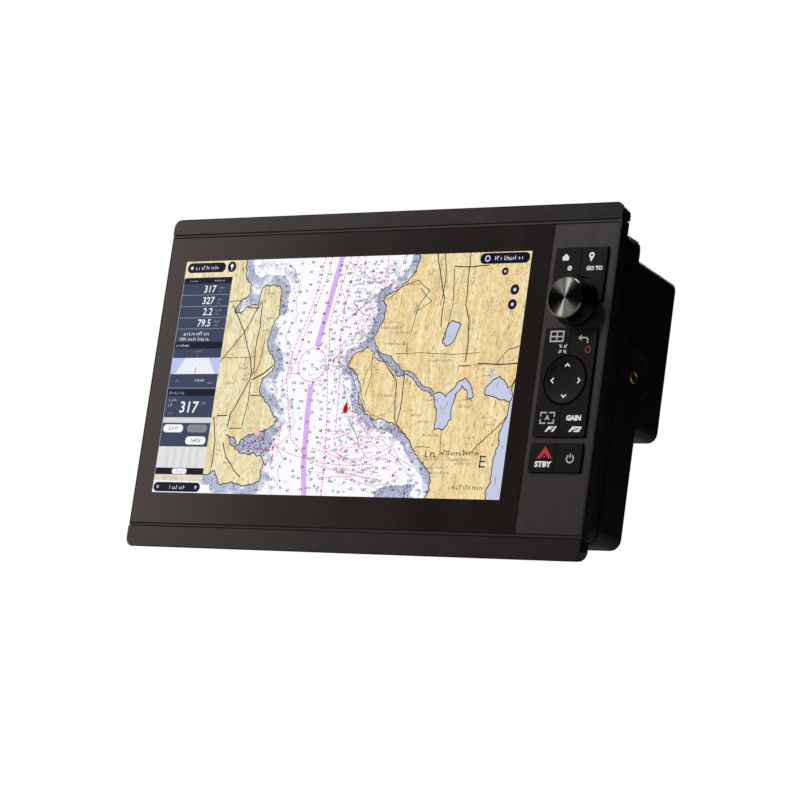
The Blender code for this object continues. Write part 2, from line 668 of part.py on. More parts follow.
def fins():
    """One cutter of upright grooves, joined by a bar behind the casting so that it is one body."""
    pitch, width, count = 9.0, 4.0, 22
    first = -pitch * (count - 1) / 2
    comb = slab("fin_comb", -100, 100, BOX_BACK + 1, BOX_BACK + 3, 90, 100)
    for i in range(count):
        x = first + i * pitch
        span = x - width / 2, x + width / 2
        groove = slab(f"fin_groove_{i}", *span, BOX_BACK - FIN_DEPTH, BOX_BACK + 2, 76, 129)
        join(comb, groove)
    return comb


def seals():
    ring("front_seal", MID_HALF - 0.6, 1.0, 4.7, 5.6)
    ring("rear_seal", MID_HALF - 1.0, 1.2, MID_BACK + 0.2, REAR_FRONT - 0.2)


def inserts():
    bore, outer = 1.75, MID_HALF - BOSS_RECESS / 2
    inner = outer - INSERT_LENGTH
    body = [(bore, inner), (INSERT_R, inner), (INSERT_R, outer - 0.3), (INSERT_R - 0.3, outer)]
    mouth = [(bore + 0.3, outer), (bore, outer - 0.3)]
    side_turned("left_insert", -1, body + mouth, kind="brass")
    side_turned("right_insert", 1, body + mouth, kind="brass")


def case_screws():
    """Pan-head screws with a hex socket left as a plain round hole."""
    for i, (x, z) in enumerate(CASE_SCREWS):
        seat = head_seat(z) + GAP
        top = seat + HEAD_H
        head = [(0, top - 1.6), (1.3, top - 1.6), (1.3, top), (3.1, top), (HEAD_R, top - 0.6), (HEAD_R, seat)]
        shank = [(1.7, seat), (1.7, 14.0), (1.2, 13.2), (0, 13.2)]
        turned(f"case_screw_{i + 1}", head + shank, (x, 0, z), steps=16)


# ---------------------------------------------------------------- connectors and card door


def socket(name, x, hole_r, inner_r, reach):
    """A panel socket: flange outside the case, body through the hole, and an open mouth."""
    outer_r = hole_r + 1.5
    profile = [
        (0, SOCKET_BACK),
        (hole_r, SOCKET_BACK),
        (hole_r, SEAL_FACE),
        (outer_r + 1.5, SEAL_FACE),
        (outer_r + 1.5, SEAL_FACE + 1.7),
        (outer_r - 0.8, SEAL_FACE + 2.0),
        (outer_r - 0.8, reach - 0.4),
        (outer_r - 1.2, reach),
        (inner_r, reach),
        (inner_r, reach - 6.5),
        (0, reach - 6.5),
    ]
    return turned(name, profile, (x, 0, SOCKET_Z), "black_plastic")


def pin_insert(name, x, radius, pins, circle, reach):
    """The contact insert at the bottom of a socket, with its ring of pins."""
    floor = reach - 6.2
    body = cylinder(name, x, SOCKET_Z, floor, floor + 0.9, radius, "brass")
    for i in range(pins):
        a = 2 * math.pi * (i + 0.5) / pins
        px, pz = x + circle * math.cos(a), SOCKET_Z + circle * math.sin(a)
        join(body, cylinder(f"{name}_pin_{i}", px, pz, floor + 0.5, reach - 1.4, 0.6, steps=8))
    return body


def connectors():
    socket("power_socket", POWER_X, SOCKET_R, 7.6, SOCKET_REACH)
    pin_insert("power_pins", POWER_X, 7.2, 5, 4.9, SOCKET_REACH)
    socket("sounder_socket", SOUNDER_X, SOCKET_R, 8.4, SOCKET_REACH)
    pin_insert("sounder_pins", SOUNDER_X, 8.0, 8, 6.2, SOCKET_REACH)
    back = [(0, SOCKET_BACK), (NETWORK_R, SOCKET_BACK), (NETWORK_R, SEAL_FACE), (NETWORK_R + 2.5, SEAL_FACE)]
    collar = NETWORK_R + 1
    front = [(NETWORK_R + 2.5, 42.0), (collar, 42.4), (collar, 47.6), (collar - 0.4, 48), (0, 48)]
    network = turned("network_socket", back + front, (NETWORK_X, 0, SOCKET_Z), "black_plastic")
    cut(network, slab("network_mouth", NETWORK_X - 6, NETWORK_X + 6, 39, 49, SOCKET_Z - 4.4, SOCKET_Z + 4.4))
    socket("data_socket", DATA_X, DATA_R, 4.7, DATA_REACH)
    pin_insert("data_pins", DATA_X, 4.3, 5, 2.7, DATA_REACH)


def card_bay():
    """The card reader behind its door, the door, and the pin that it hinges on."""
    front = CONNECTOR_BOARD[1] + GAP
    reader = slab("card_reader", 42.4, 77.6, front, 40, 30.4, 45.6, "black_plastic", r=0.8)
    for i, z in enumerate((34.6, 41.4)):
        cut(reader, slab(f"card_slot_{i}", 53.5, 66.5, 34, 41, z - 0.8, z + 0.8))
    hinge = (60, DOOR_HINGE_Y, DOOR_HINGE_Z)
    faces = (41.0, 43.2)
    size = (DOOR_LEFT, DOOR_RIGHT, *faces, DOOR_BOTTOM, DOOR_TOP)
    door = slab("card_door", *size, "black_plastic", r=1.6, chamfer=0.5, origin=hinge)
    join(door, slab("door_tab", 54, 66, 41.6, 44.2, DOOR_TOP - 1.5, DOOR_TOP + 2.0, r=0.8, chamfer=0.4))
    left, right = DOOR_LUGS[0] + LUG_W + 0.6, DOOR_LUGS[1] - 0.6
    join(door, slab("door_web", left + 0.2, right - 0.2, 41.4, 42.9, DOOR_HINGE_Z + 0.8, DOOR_BOTTOM + 1.5))
    join(door, on_door_axis("door_knuckle", rod(LUG_R, left, right), steps=20))
    cut(door, on_door_axis("door_knuckle_way", rod(PIN_R + 0.15, 40, 80)))
    on_door_axis("card_door_pin", rod(PIN_R, DOOR_LUGS[0] - 0.5, DOOR_LUGS[1] + LUG_W + 0.5))


def panel_hardware():
    """The grounding screw with its washer, and the breather plug."""
    washer, head = SEAL_FACE + 1.0, SEAL_FACE + 3.6
    ground = [(0, head), (3.4, head), (3.8, head - 0.4), (3.8, washer), (5.0, washer), (5.0, SEAL_FACE)]
    ground += [(1.7, SEAL_FACE), (1.7, 34), (0, 34)]
    turned("ground_screw", ground, (HARDWARE_X, 0, GROUND_Z), steps=24)
    cap = SEAL_FACE + 2.2
    vent = [(0, cap), (4.4, cap), (5.0, cap - 0.8), (5.0, SEAL_FACE), (3.3, SEAL_FACE), (3.3, 37), (0, 37)]
    turned("vent_plug", vent, (HARDWARE_X, 0, VENT_Z), "rubber", steps=24)


# ---------------------------------------------------------------- inside the case


def electronics():
    """Boards, heat path, sounder, aerial and buzzer, each clear of the case."""
    chassis = slab("chassis_plate", -116, 90, 5.9, 7.1, 22, 142, "metal", r=2)
    cut(chassis, slab("chassis_slot", -60, 20, 5, 8, 60, 80, r=4))
    slab("main_board", -100, 100, *MAIN_BOARD, 70, 134, "board", r=1)
    slab("processor", -15, 15, MAIN_BOARD[1] + GAP, 47.6, 88, 118, "black_plastic")
    slab("thermal_pad", -14, 14, 47.9, 48.9, 89, 117, "tape")
    slab("heat_spreader", -40, 40, 49.2, BOX_WALL_BACK - GAP, 74, 130, "metal", chamfer=0.6)
    slab("sounder_module", -90, -40, 31, MAIN_BOARD[0] - GAP, 72, 98, "metal", r=1, chamfer=0.6)
    slab("connector_board", -104, 104, *CONNECTOR_BOARD, 26, 62, "board", r=1)
    slab("gps_antenna", -9, 9, 8.7, 17.7, 143.9, 147.2, "board")
    cylinder("buzzer", 30, 52, 25.0, CONNECTOR_BOARD[0] - GAP, 6.0, "black_plastic", steps=24)
    slab("lcd_ribbon", -30, 0, 7.5, MAIN_BOARD[0] - GAP, 100.0, 100.4, "tape")


def display():
    clear_scene()
    origin = bpy.data.objects.new("display", None)
    origin.location = (0, FACE_Y * MM, 0)
    bpy.context.scene.collection.objects.link(origin)
    front_frame()
    trim("bottom_trim", 0, BOTTOM_TRIM_H, True)
    trim("top_trim", FRONT_H - TOP_TRIM_H, FRONT_H, False)
    glass_stack()
    keypad_plate()
    keys()
    cursor_pad()
    keypad_inside()
    knob()
    mid_frame()
    rear_case()
    seals()
    inserts()
    case_screws()
    connectors()
    card_bay()
    panel_hardware()
    electronics()


display()
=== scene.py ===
"""Looks for the chartplotter display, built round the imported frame. Metres, +Z up, the glass faces -Y."""

import math
import random

import bpy
import numpy as np
from mathutils import Matrix, Vector
from mathutils.geometry import delaunay_2d_cdt


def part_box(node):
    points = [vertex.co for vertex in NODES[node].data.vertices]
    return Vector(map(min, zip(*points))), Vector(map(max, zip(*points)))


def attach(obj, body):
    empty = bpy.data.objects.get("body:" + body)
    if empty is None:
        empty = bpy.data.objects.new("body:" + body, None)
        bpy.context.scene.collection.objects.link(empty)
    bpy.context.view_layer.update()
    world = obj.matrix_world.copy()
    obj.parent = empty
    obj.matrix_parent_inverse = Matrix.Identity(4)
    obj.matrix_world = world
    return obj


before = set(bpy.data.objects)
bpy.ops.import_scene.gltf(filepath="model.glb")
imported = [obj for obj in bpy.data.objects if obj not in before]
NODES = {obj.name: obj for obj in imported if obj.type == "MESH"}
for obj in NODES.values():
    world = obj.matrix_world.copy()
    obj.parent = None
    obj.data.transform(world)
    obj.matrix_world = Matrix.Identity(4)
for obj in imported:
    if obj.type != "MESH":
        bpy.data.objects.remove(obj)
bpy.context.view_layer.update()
MM = 0.001
SHARP_DEGREES = 32
RAY_START = 0.01
SCENE = bpy.context.scene

# The lit picture, in millimetres
SCREEN_W = 199.2
SCREEN_H = 112.0
SCREEN_LEFT = -116.6
SCREEN_BOTTOM = 26.0
PICTURE_LIFT = 0.03
BAR_W = 29.7

# The camera, measured from the object's origin
CAMERA_AT = (0.8924, -1.1682, -0.1965)
CAMERA_RIGHT = (0.802458, 0.580807, 0.136837)
CAMERA_DOWN = (0.000683, 0.228426, -0.973561)
CAMERA_AHEAD = (-0.596708, 0.781335, 0.182905)
CAMERA_LENS = 146.75
SENSOR = 36.0
CAMERA_CLIP = (0.05, 20)

# The studio
AIM = (0.02, 0.0, 0.08)
DIM_SURROUND = (0.0035, 0.0035, 0.0035, 1)
FLOOR_HALF = 1.2
FLOOR_DROP = 0.0005
FADE_START, FADE_END = 0.12, 1.1

# Marks on the keys, in millimetres
INK_SUNK = 0.02
INK_THICK = 0.035
SHARPEST_MITRE = 0.3

# How a noise texture spreads, and the cosines of the turns that count as open face and as worn edge
NOISE_LOW, NOISE_HIGH = 0.3, 0.7
OPEN_FACE, WORN_EDGE = 0.995, 0.86


def linear(r, g, b):
    """An sRGB colour in 0 to 255 as the linear colour a shader takes."""
    out = []
    for v in (r / 255, g / 255, b / 255):
        out.append(v / 12.92 if v <= 0.04045 else ((v + 0.055) / 1.055) ** 2.4)
    return (*out, 1.0)


def signed_area(points):
    """Twice the area of an outline, positive when it runs anticlockwise."""
    return sum(x0 * z1 - x1 * z0 for (x0, z0), (x1, z1) in zip(points, points[1:] + points[:1]))


def new_object(name, data):
    made = bpy.data.objects.new(name, data)
    SCENE.collection.objects.link(made)
    return made


# ---- materials


def add_node(tree, kind, links=None, **settings):
    """A new shader node with its settings, and with its inputs linked to sockets or set to values."""
    made = tree.nodes.new("ShaderNode" + kind)
    for key, value in settings.items():
        setattr(made, key, value)
    for key, value in (links or {}).items():
        if isinstance(value, bpy.types.NodeSocket):
            tree.links.new(value, made.inputs[key])
        else:
            made.inputs[key].default_value = value
    return made


class Finish:
    """A material with one Principled shader, and short calls for the nodes that feed it."""

    def __init__(self, name, colour, rough, metallic=0.0, **sockets):
        self.mat = bpy.data.materials.new(name)
        self.mat.use_nodes = True
        self.tree = self.mat.node_tree
        self.shader = self.tree.nodes["Principled BSDF"]
        self.shader.inputs["Base Color"].default_value = (*colour, 1)
        self.shader.inputs["Roughness"].default_value = rough
        self.shader.inputs["Metallic"].default_value = metallic
        for key, value in sockets.items():
            self.shader.inputs[key.replace("_", " ")].default_value = value
        self.colour = (*colour, 1)
        self.place = self.add("TexCoord").outputs["Object"]

    def add(self, kind, links=None, **settings):
        return add_node(self.tree, kind, links, **settings)

    def out(self, kind, links=None, **settings):
        return self.add(kind, links, **settings).outputs[0]

    def feed(self, key, socket):
        self.tree.links.new(socket, self.shader.inputs[key])

    def maths(self, operation, a, b=0.0):
        return self.out("Math", {0: a, 1: b}, operation=operation)

    def noise(self, scale, detail=2.0, stretch=(1, 1, 1), rough=0.5, warp=0.0):
        place = self.out("Mapping", {"Vector": self.place, "Scale": stretch})
        links = {"Vector": place, "Scale": scale, "Detail": detail, "Roughness": rough, "Distortion": warp}
        return self.out("TexNoise", links)

    def span(self, value, low, high, to_low=0.0, to_high=1.0):
        links = {"Value": value, "From Min": low, "From Max": high, "To Min": to_low, "To Max": to_high}
        return self.out("MapRange", links)

    def vary(self, noise, low, high):
        """A noise spread between two values."""
        return self.span(noise, NOISE_LOW, NOISE_HIGH, low, high)

    def smears(self):
        """The glass's gloss, a little uneven from wiping."""
        return self.vary(self.noise(26, 5, (1, 1, 0.35), 0.62, 0.8), 0.18, 0.23)

    def tint(self, by):
        """The plain colour multiplied by a pattern."""
        return self.mix(1.0, self.colour, by, "MULTIPLY")

    def mix(self, share, a, b, blend="MIX"):
        links = {0: share, 6: a, 7: b}
        return self.add("Mix", links, data_type="RGBA", blend_type=blend).outputs[2]

    def edges(self, radius):
        """1 along convex and concave edges, and 0 on open faces."""
        soft = self.out("Bevel", {"Radius": radius}, samples=6)
        flat = self.add("NewGeometry").outputs["Normal"]
        same = self.add("VectorMath", {0: soft, 1: flat}, operation="DOT_PRODUCT").outputs["Value"]
        return self.span(same, OPEN_FACE, WORN_EDGE)

    def bump(self, height, depth):
        links = {"Height": height, "Distance": depth, "Strength": 1.0}
        self.feed("Normal", self.out("Bump", links))


def textured(name, colour, rough, metallic=0.0, grain=2600, depth=3e-5, mottle=0.14, spread=0.07, wear_and_highlight=0.0,
             wear_and_highlight_colour=(0.2, 0.2, 0.2), stretch=(1, 1, 1), bevel=0.0004, **sockets):
    """A moulded, cast or painted surface: fine grain, soft colour and gloss variation, and lighter edges,
    worn, and on the keys also a painted edge highlight.
    """
    made = Finish(name, colour, rough, metallic, **sockets)
    fine = made.noise(grain, 2, stretch)
    shade = made.vary(made.noise(38, 4, rough=0.6), 1 - mottle, 1 + mottle)
    speck = made.span(fine, 0.35, 0.65, 1 - mottle, 1 + mottle)
    tone = made.tint(made.maths("MULTIPLY", shade, speck))
    gloss = made.vary(made.noise(85, 3, rough=0.65), rough - spread, rough + spread)
    # Lighter edges: wear, and on the keys partly a painted highlight where their edges catch the light.
    if wear_and_highlight:
        edge_wear_and_highlight_mask = made.maths("MULTIPLY", made.edges(bevel), made.span(made.noise(420, 3), 0.42, 0.62, 0.15, 1))
        edge_wear_and_highlight_mask = made.maths("MULTIPLY", edge_wear_and_highlight_mask, wear_and_highlight)
        tone = made.mix(edge_wear_and_highlight_mask, tone, (*wear_and_highlight_colour, 1))
        gloss = made.maths("SUBTRACT", gloss, made.maths("MULTIPLY", edge_wear_and_highlight_mask, 0.12))
    made.feed("Base Color", tone)
    made.feed("Roughness", gloss)
    made.bump(fine, depth)
    return made


def brushed(name, colour, rough, metallic, along=(0.04, 1, 1), grain=5200, depth=1.2e-5, **sockets):
    """Metal or paint with fine straight brush lines."""
    made = Finish(name, colour, rough, metallic, **sockets)
    lines = made.noise(grain, 3, along, rough=0.7)
    broad = made.noise(grain / 7, 2, along)
    fine = made.vary(lines, 0.78, 1.22)
    lit = made.maths("MULTIPLY", fine, made.vary(broad, 0.88, 1.12))
    made.feed("Base Color", made.tint(lit))
    made.feed("Roughness", made.vary(lines, rough - 0.06, rough + 0.08))
    made.bump(lines, depth)
    return made


def turned_metal(name, centre, colour, rough, metallic=1.0, pitch=0.00022, depth=1.6e-6, **sockets):
    """Metal faced on a lathe: rings round an axis along Y through `centre`, and a ring-wise highlight."""
    made = Finish(name, colour, rough, metallic, **sockets)
    shifted = made.out("VectorMath", {0: made.place, 1: centre}, operation="SUBTRACT")
    flat = made.out("VectorMath", {0: shifted, 1: (1, 0, 1)}, operation="MULTIPLY")
    radius = made.add("VectorMath", {0: flat}, operation="LENGTH").outputs["Value"]
    along = made.out("CombineXYZ", {0: radius})
    links = {"Vector": along, "Scale": 1 / pitch, "Detail": 3.0, "Roughness": 0.7}
    rings = made.out("TexNoise", links)
    made.feed("Base Color", made.tint(made.vary(rings, 0.8, 1.2)))
    made.feed("Roughness", made.vary(rings, rough - 0.05, rough + 0.07))
    made.bump(rings, depth)
    return made


def circuit_board():
    """Solder-masked board: dark green with tracks and pads as a fine pattern."""
    made = Finish("circuit_board", (0.008, 0.075, 0.03), 0.35)
    links = {"Vector": made.place, "Scale": 420}
    cells = made.out("TexVoronoi", links, distance="MANHATTAN")
    tracks = made.span(cells, 0.42, 0.5)
    made.feed("Base Color", made.mix(tracks, made.colour, (0.03, 0.16, 0.07, 1)))
    made.feed("Roughness", made.vary(made.noise(300, 3), 0.28, 0.42))
    made.bump(tracks, 2e-5)
    return made


def cover_glass():
    """Satin, warm-black printed glass with faint smears in its gloss."""
    made = Finish("cover_glass", (0.0098, 0.0063, 0.0048), 0.2, IOR=1.5)
    fine = made.noise(3200, 2)
    tone = made.tint(made.vary(made.noise(14, 4, rough=0.55), 0.94, 1.06))
    made.feed("Base Color", made.mix(made.span(fine, 0.35, 0.65, 0, 0.08), tone, (0.03, 0.024, 0.02, 1)))
    made.feed("Roughness", made.smears())
    made.bump(fine, 2e-6)
    return made


def lit_picture():
    """The screen's own light: flat inks from the mesh, with relief on land and patchy, stippled shoals."""
    made = Finish("lit_picture", (0.004, 0.004, 0.004), 0.2, Emission_Strength=1.0, Specular_IOR_Level=0.1)
    ink = made.add("Attribute", attribute_name="ink").outputs["Color"]
    land = made.add("Attribute", attribute_name="land").outputs["Fac"]
    shoal = made.add("Attribute", attribute_name="shoal").outputs["Fac"]
    hills = made.noise(46, 5, (1.9, 1, 0.62), 0.62, 1.3)
    slopes = made.noise(125, 5, (2.0, 1, 0.36), 0.66, 1.2)
    relief = made.mix(made.span(slopes, 0.34, 0.62), (0.88, 0.80, 0.67, 1), (1.05, 1.06, 1.06, 1))
    warm = made.mix(made.span(hills, 0.38, 0.62), (0.98, 0.91, 0.82, 1), (1.0, 1.02, 1.06, 1))
    ground = made.mix(1.0, made.mix(1.0, ink, relief, "MULTIPLY"), warm, "MULTIPLY")
    for source, count, width, strength, tone in (
        (slopes, 12.0, 0.1, 0.42, linear(132, 118, 90)),
        (hills, 19.0, 0.07, 0.62, linear(104, 84, 60)),
    ):
        level = made.maths("FRACT", made.maths("MULTIPLY", source, count))
        line = made.maths("LESS_THAN", made.maths("ABSOLUTE", made.maths("SUBTRACT", level, 0.5)), width)
        line = made.maths("MULTIPLY", line, made.span(made.noise(520, 2), 0.4, 0.56, 0, strength))
        ground = made.mix(line, ground, tone)
    patch = made.maths("ADD", made.noise(120, 4, rough=0.62, warp=0.7), shoal)
    shallow = made.mix(made.span(patch, 0.98, 1.14), linear(*DEEP_INK), ink)
    grain = made.noise(1050, 3, rough=0.7)
    stipple = made.maths("MULTIPLY", made.span(grain, 0.46, 0.55, 0, 1.0), made.span(patch, 0.96, 1.4))
    shallow = made.mix(stipple, shallow, linear(84, 88, 108))
    wet = made.mix(made.maths("GREATER_THAN", shoal, 0.02), ink, shallow)
    made.feed("Emission Color", made.mix(land, wet, ground))
    made.feed("Roughness", made.smears())
    return made


def printed(name, colour, rough=0.5, painted_glow=0.0):
    """Screen-printed ink, a little uneven. A glow, when given, is painted light that makes the ink read
    brighter.
    """
    made = Finish(name, colour, rough)
    speck = made.noise(2400, 3)
    made.feed("Base Color", made.tint(made.vary(speck, 0.88, 1.05)))
    made.feed("Roughness", made.vary(speck, rough - 0.08, rough + 0.08))
    if painted_glow:
        made.shader.inputs["Emission Color"].default_value = (*colour, 1)
        made.shader.inputs["Emission Strength"].default_value = painted_glow
    made.bump(speck, 4e-6)
    return made


def wear_finish(finish, *names):
    for name in names:
        NODES[name].data.materials.clear()
        NODES[name].data.materials.append(finish.mat)


def middle(name):
    low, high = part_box(name)
    return (low + high) / 2


def smooth(name):
    """Rounds the shading of a CAD node, except over its sharper edges."""
    mesh = NODES[name].data
    mesh.shade_smooth()
    mesh.set_sharp_from_angle(angle=math.radians(SHARP_DEGREES))


def paint_nodes():
    knob_axis = tuple(middle("knob_body"))
    moulded = textured("moulded_black", (0.0095, 0.0083, 0.008), 0.42, grain=2900, depth=2.5e-5, wear_and_highlight=0.35,
                       wear_and_highlight_colour=(0.09, 0.08, 0.075))
    trim = textured("trim_paint", (0.0185, 0.0152, 0.0144), 0.265, 0.1, grain=1700, depth=1e-5,
                    mottle=0.09, spread=0.02, stretch=(0.07, 1, 1), wear_and_highlight=0.05, wear_and_highlight_colour=(0.11, 0.1, 0.095))
    cast = textured("cast_black", (0.0046, 0.0046, 0.0049), 0.48, grain=1500, depth=7e-5, mottle=0.2,
                    wear_and_highlight=0.5, wear_and_highlight_colour=(0.05, 0.05, 0.052), Specular_IOR_Level=0.27)
    # The keys' lighter edge colour is partly painted highlight along the edges that catch the light, partly
    # wear.
    keys = textured("key_black", (0.0044, 0.0042, 0.0042), 0.5, grain=2600, depth=2e-5, bevel=0.0003,
                    wear_and_highlight=0.5, wear_and_highlight_colour=(0.055, 0.054, 0.052), Specular_IOR_Level=0.13)
    rubber = textured("rubber", (0.009, 0.009, 0.009), 0.8, grain=1800, depth=4e-5, mottle=0.2,
                      Specular_IOR_Level=0.2)
    plastic = textured("socket_black", (0.014, 0.014, 0.015), 0.4, grain=2600, depth=2e-5, wear_and_highlight=0.4,
                       wear_and_highlight_colour=(0.07, 0.07, 0.07))
    steel = turned_metal("steel", (0, 0, 0), (0.52, 0.52, 0.53), 0.32)
    aluminium = brushed("aluminium", (0.6, 0.6, 0.62), 0.36, 1.0)
    brass = turned_metal("brass", tuple(middle("right_insert")), (0.74, 0.45, 0.16), 0.28, pitch=0.0004)
    tape = textured("tape", (0.02, 0.02, 0.02), 0.85, grain=1400, depth=3e-5)
    ceramic = textured("ceramic", (0.62, 0.58, 0.5), 0.6, grain=1900, depth=2e-5)
    knob_black = turned_metal("knob_black", knob_axis, (0.02, 0.019, 0.019), 0.3, 0.9, depth=1.2e-6)
    knob_face = turned_metal("knob_face", knob_axis, (0.36, 0.344, 0.328), 0.21, depth=2.2e-6,
                             Anisotropic=0.95, Anisotropic_Rotation=0.25)
    knob_face.feed("Tangent", knob_face.out("Tangent", direction_type="RADIAL", axis="Y"))
    plate = brushed("plate_paint", (0.031, 0.028, 0.0272), 0.38, 0.3, along=(1, 1, 0.03), grain=4200,
                    depth=1.6e-5)
    wear_finish(moulded, "front_frame")
    wear_finish(trim, "top_trim", "bottom_trim")
    wear_finish(cast, "mid_frame", "rear_case")
    wear_finish(cover_glass(), "front_glass")
    wear_finish(plate, "keypad_plate")
    wear_finish(keys, "home_key", "waypoint_key", "layout_key", "back_key", "centre_key", "gain_key",
                "autopilot_key", "power_key", "cursor_pad")
    wear_finish(rubber, "front_seal", "rear_seal", "vent_plug", "keypad_mat")
    wear_finish(plastic, "power_socket", "sounder_socket", "network_socket", "data_socket", "card_door",
                "card_reader", "buzzer", "processor", "encoder_plunger", "cursor_pivot")
    wear_finish(steel, "case_screw_1", "case_screw_2", "case_screw_3", "case_screw_4", "ground_screw",
                "card_door_pin", "encoder_body", "encoder_nut", "encoder_shaft")
    wear_finish(aluminium, "chassis_plate", "heat_spreader", "sounder_module", "lcd_backlight")
    wear_finish(brass, "left_insert", "right_insert", "power_pins", "sounder_pins", "data_pins")
    wear_finish(tape, "glass_tape", "thermal_pad", "lcd_ribbon", "lcd_panel")
    wear_finish(ceramic, "gps_antenna")
    wear_finish(circuit_board(), "main_board", "connector_board", "keypad_board")
    wear_finish(knob_black, "knob_body")
    wear_finish(knob_face, "knob_cap")
    for name in NODES:
        smooth(name)


# ---- the lit picture


class Picture:
    """Flat shapes drawn one over another, then cut into one sheet of triangles without overlaps."""

    def __init__(self):
        self.points = []
        self.faces = []
        self.inks = []

    def shape(self, points, ink, land=0.0, shoal=0.0):
        points = [(min(max(x, 0), SCREEN_W), min(max(z, 0), SCREEN_H)) for x, z in points]
        turn = signed_area(points)
        if abs(turn) < SMALLEST_AREA:
            return
        if turn < 0:
            points = points[::-1]
        start = len(self.points)
        self.points += [Vector(p) for p in points]
        self.faces.append(list(range(start, start + len(points))))
        self.inks.append((*linear(*ink)[:3], land, shoal))

    def box(self, x0, z0, x1, z1, ink, land=0.0):
        self.shape([(x0, z0), (x1, z0), (x1, z1), (x0, z1)], ink, land)

    def pill(self, x0, z0, x1, z1, ink):
        """A box with round ends."""
        r = (z1 - z0) / 2
        points = []
        for x, z, start in ((x1 - r, z0 + r, -90), (x1 - r, z1 - r, 0),
                            (x0 + r, z1 - r, 90), (x0 + r, z0 + r, 180)):
            for i in range(6):
                a = math.radians(start + 18 * i)
                points.append((x + r * math.cos(a), z + r * math.sin(a)))
        self.shape(points, ink)

    def disc(self, x, z, r, ink, steps=20, shoal=0.0):
        ring = [(x + r * math.cos(2 * math.pi * i / steps), z + r * math.sin(2 * math.pi * i / steps))
                for i in range(steps)]
        self.shape(ring, ink, shoal=shoal)

    def stroke(self, points, width, ink, dash=None, round_joins=False):
        """A line along the points, whole or in dashes of (drawn, left out) length."""
        pieces = dashes(points, *dash) if dash else list(zip(points, points[1:]))
        for (x0, z0), (x1, z1) in pieces:
            length = math.hypot(x1 - x0, z1 - z0)
            if length < 1e-3:
                continue
            dx, dz = (x1 - x0) / length * width / 2, (z1 - z0) / length * width / 2
            reach = 0.0 if dash else LINE_OVERRUN
            x0, z0, x1, z1 = x0 - dx * reach, z0 - dz * reach, x1 + dx * reach, z1 + dz * reach
            corners = [(x0 - dz, z0 + dx), (x0 + dz, z0 - dx), (x1 + dz, z1 - dx), (x1 - dz, z1 + dx)]
            self.shape(corners, ink)
        if round_joins:
            for x, z in points:
                self.disc(x, z, width / 2, ink, 10)

    def text(self, body, x, z, size, ink, align="CENTER", slant=0.0, bold=0.0):
        for polygon in glyphs(body, size, align, slant, bold):
            self.shape([(x + px, z + pz) for px, pz in polygon], ink)

    def greek(self, rng, x, z, width, height, ink):
        """Small strokes that read as a line of print too small to make out."""
        at = x
        while at < x + width:
            tall = height * rng.choice((0.7, 0.7, 1.0))
            self.box(at, z, at + height * 0.16, z + tall, ink)
            if rng.random() < 0.6:
                level = z + tall * rng.choice((0.0, 0.45, 0.82))
                self.box(at, level, at + height * 0.5, level + height * 0.17, ink)
            at += height * rng.choice((0.55, 0.65, 0.65, 1.0))

    def draw(self, rng, steps):
        """Draws a table of steps in order, each with its kind and then what that call takes."""
        calls = {"box": self.box, "pill": self.pill, "disc": self.disc, "stroke": self.stroke,
                 "text": self.text, "words": lambda *what: self.greek(rng, *what)}
        for kind, *what in steps:
            calls[kind](*what)

    def mesh(self, name):
        flat, triangles, tops = cut(self.points, self.faces)
        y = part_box("front_glass")[0].y - PICTURE_LIFT * MM
        points = [((SCREEN_LEFT + p.x) * MM, y, (SCREEN_BOTTOM + p.y) * MM) for p in flat]
        made = bpy.data.meshes.new(name)
        made.from_pydata(points, [], [list(t) for t in triangles])
        inks = np.array([self.inks[top] for top in tops], np.float32)
        counts = np.array([len(t) for t in triangles])
        corners = np.repeat(np.concatenate([inks[:, :3], np.ones((len(inks), 1), np.float32)], 1), counts, 0)
        made.attributes.new("ink", "FLOAT_COLOR", "CORNER").data.foreach_set("color", corners.ravel())
        for index, layer in ((3, "land"), (4, "shoal")):
            values = np.repeat(inks[:, index], counts)
            made.attributes.new(layer, "FLOAT", "CORNER").data.foreach_set("value", values)
        if made.polygons[0].normal.y > 0:
            made.flip_normals()
        return made


GLYPHS = {}
SMALLEST_AREA = 1e-4
SMALL_PRINT = 2.2
LONG_OUTLINE = 60
INSIDE_FACES = 1
SAME_POINT = 1e-5
SHORE_STEP = 0.5
SMALLEST_LOOP = 1
LINE_OVERRUN = 0.6


def glyphs(body, size, align, slant, bold):
    """The outlines of a line of print as flat polygons, in the font that comes with Blender."""
    smoothness = 2 if size > SMALL_PRINT else 1
    key = (body, align, slant, bold, smoothness)
    if key not in GLYPHS:
        curve = bpy.data.curves.new("print", "FONT")
        curve.body = body
        curve.align_x = align
        curve.shear = slant
        curve.offset = bold
        curve.resolution_u = smoothness
        made = new_object("print", curve)
        bpy.context.view_layer.update()
        mesh = made.evaluated_get(bpy.context.evaluated_depsgraph_get()).to_mesh()
        GLYPHS[key] = [[mesh.vertices[i].co.xy.to_tuple() for i in p.vertices] for p in mesh.polygons]
        bpy.data.objects.remove(made)
        bpy.data.curves.remove(curve)
    return [[(x * size, z * size) for x, z in polygon] for polygon in GLYPHS[key]]


def dashes(points, drawn, gap):
    """Cuts a line into dashes."""
    found, left, on = [], drawn, True
    for (x0, z0), (x1, z1) in zip(points, points[1:]):
        length, at = math.hypot(x1 - x0, z1 - z0), 0.0
        while at < length:
            step = min(left, length - at)
            if on:
                ends = [(x0 + (x1 - x0) * t, z0 + (z1 - z0) * t) for t in (at / length, (at + step) / length)]
                found.append(tuple(ends))
            at += step
            left -= step
            if left < 1e-9:
                on = not on
                left = drawn if on else gap
    return found


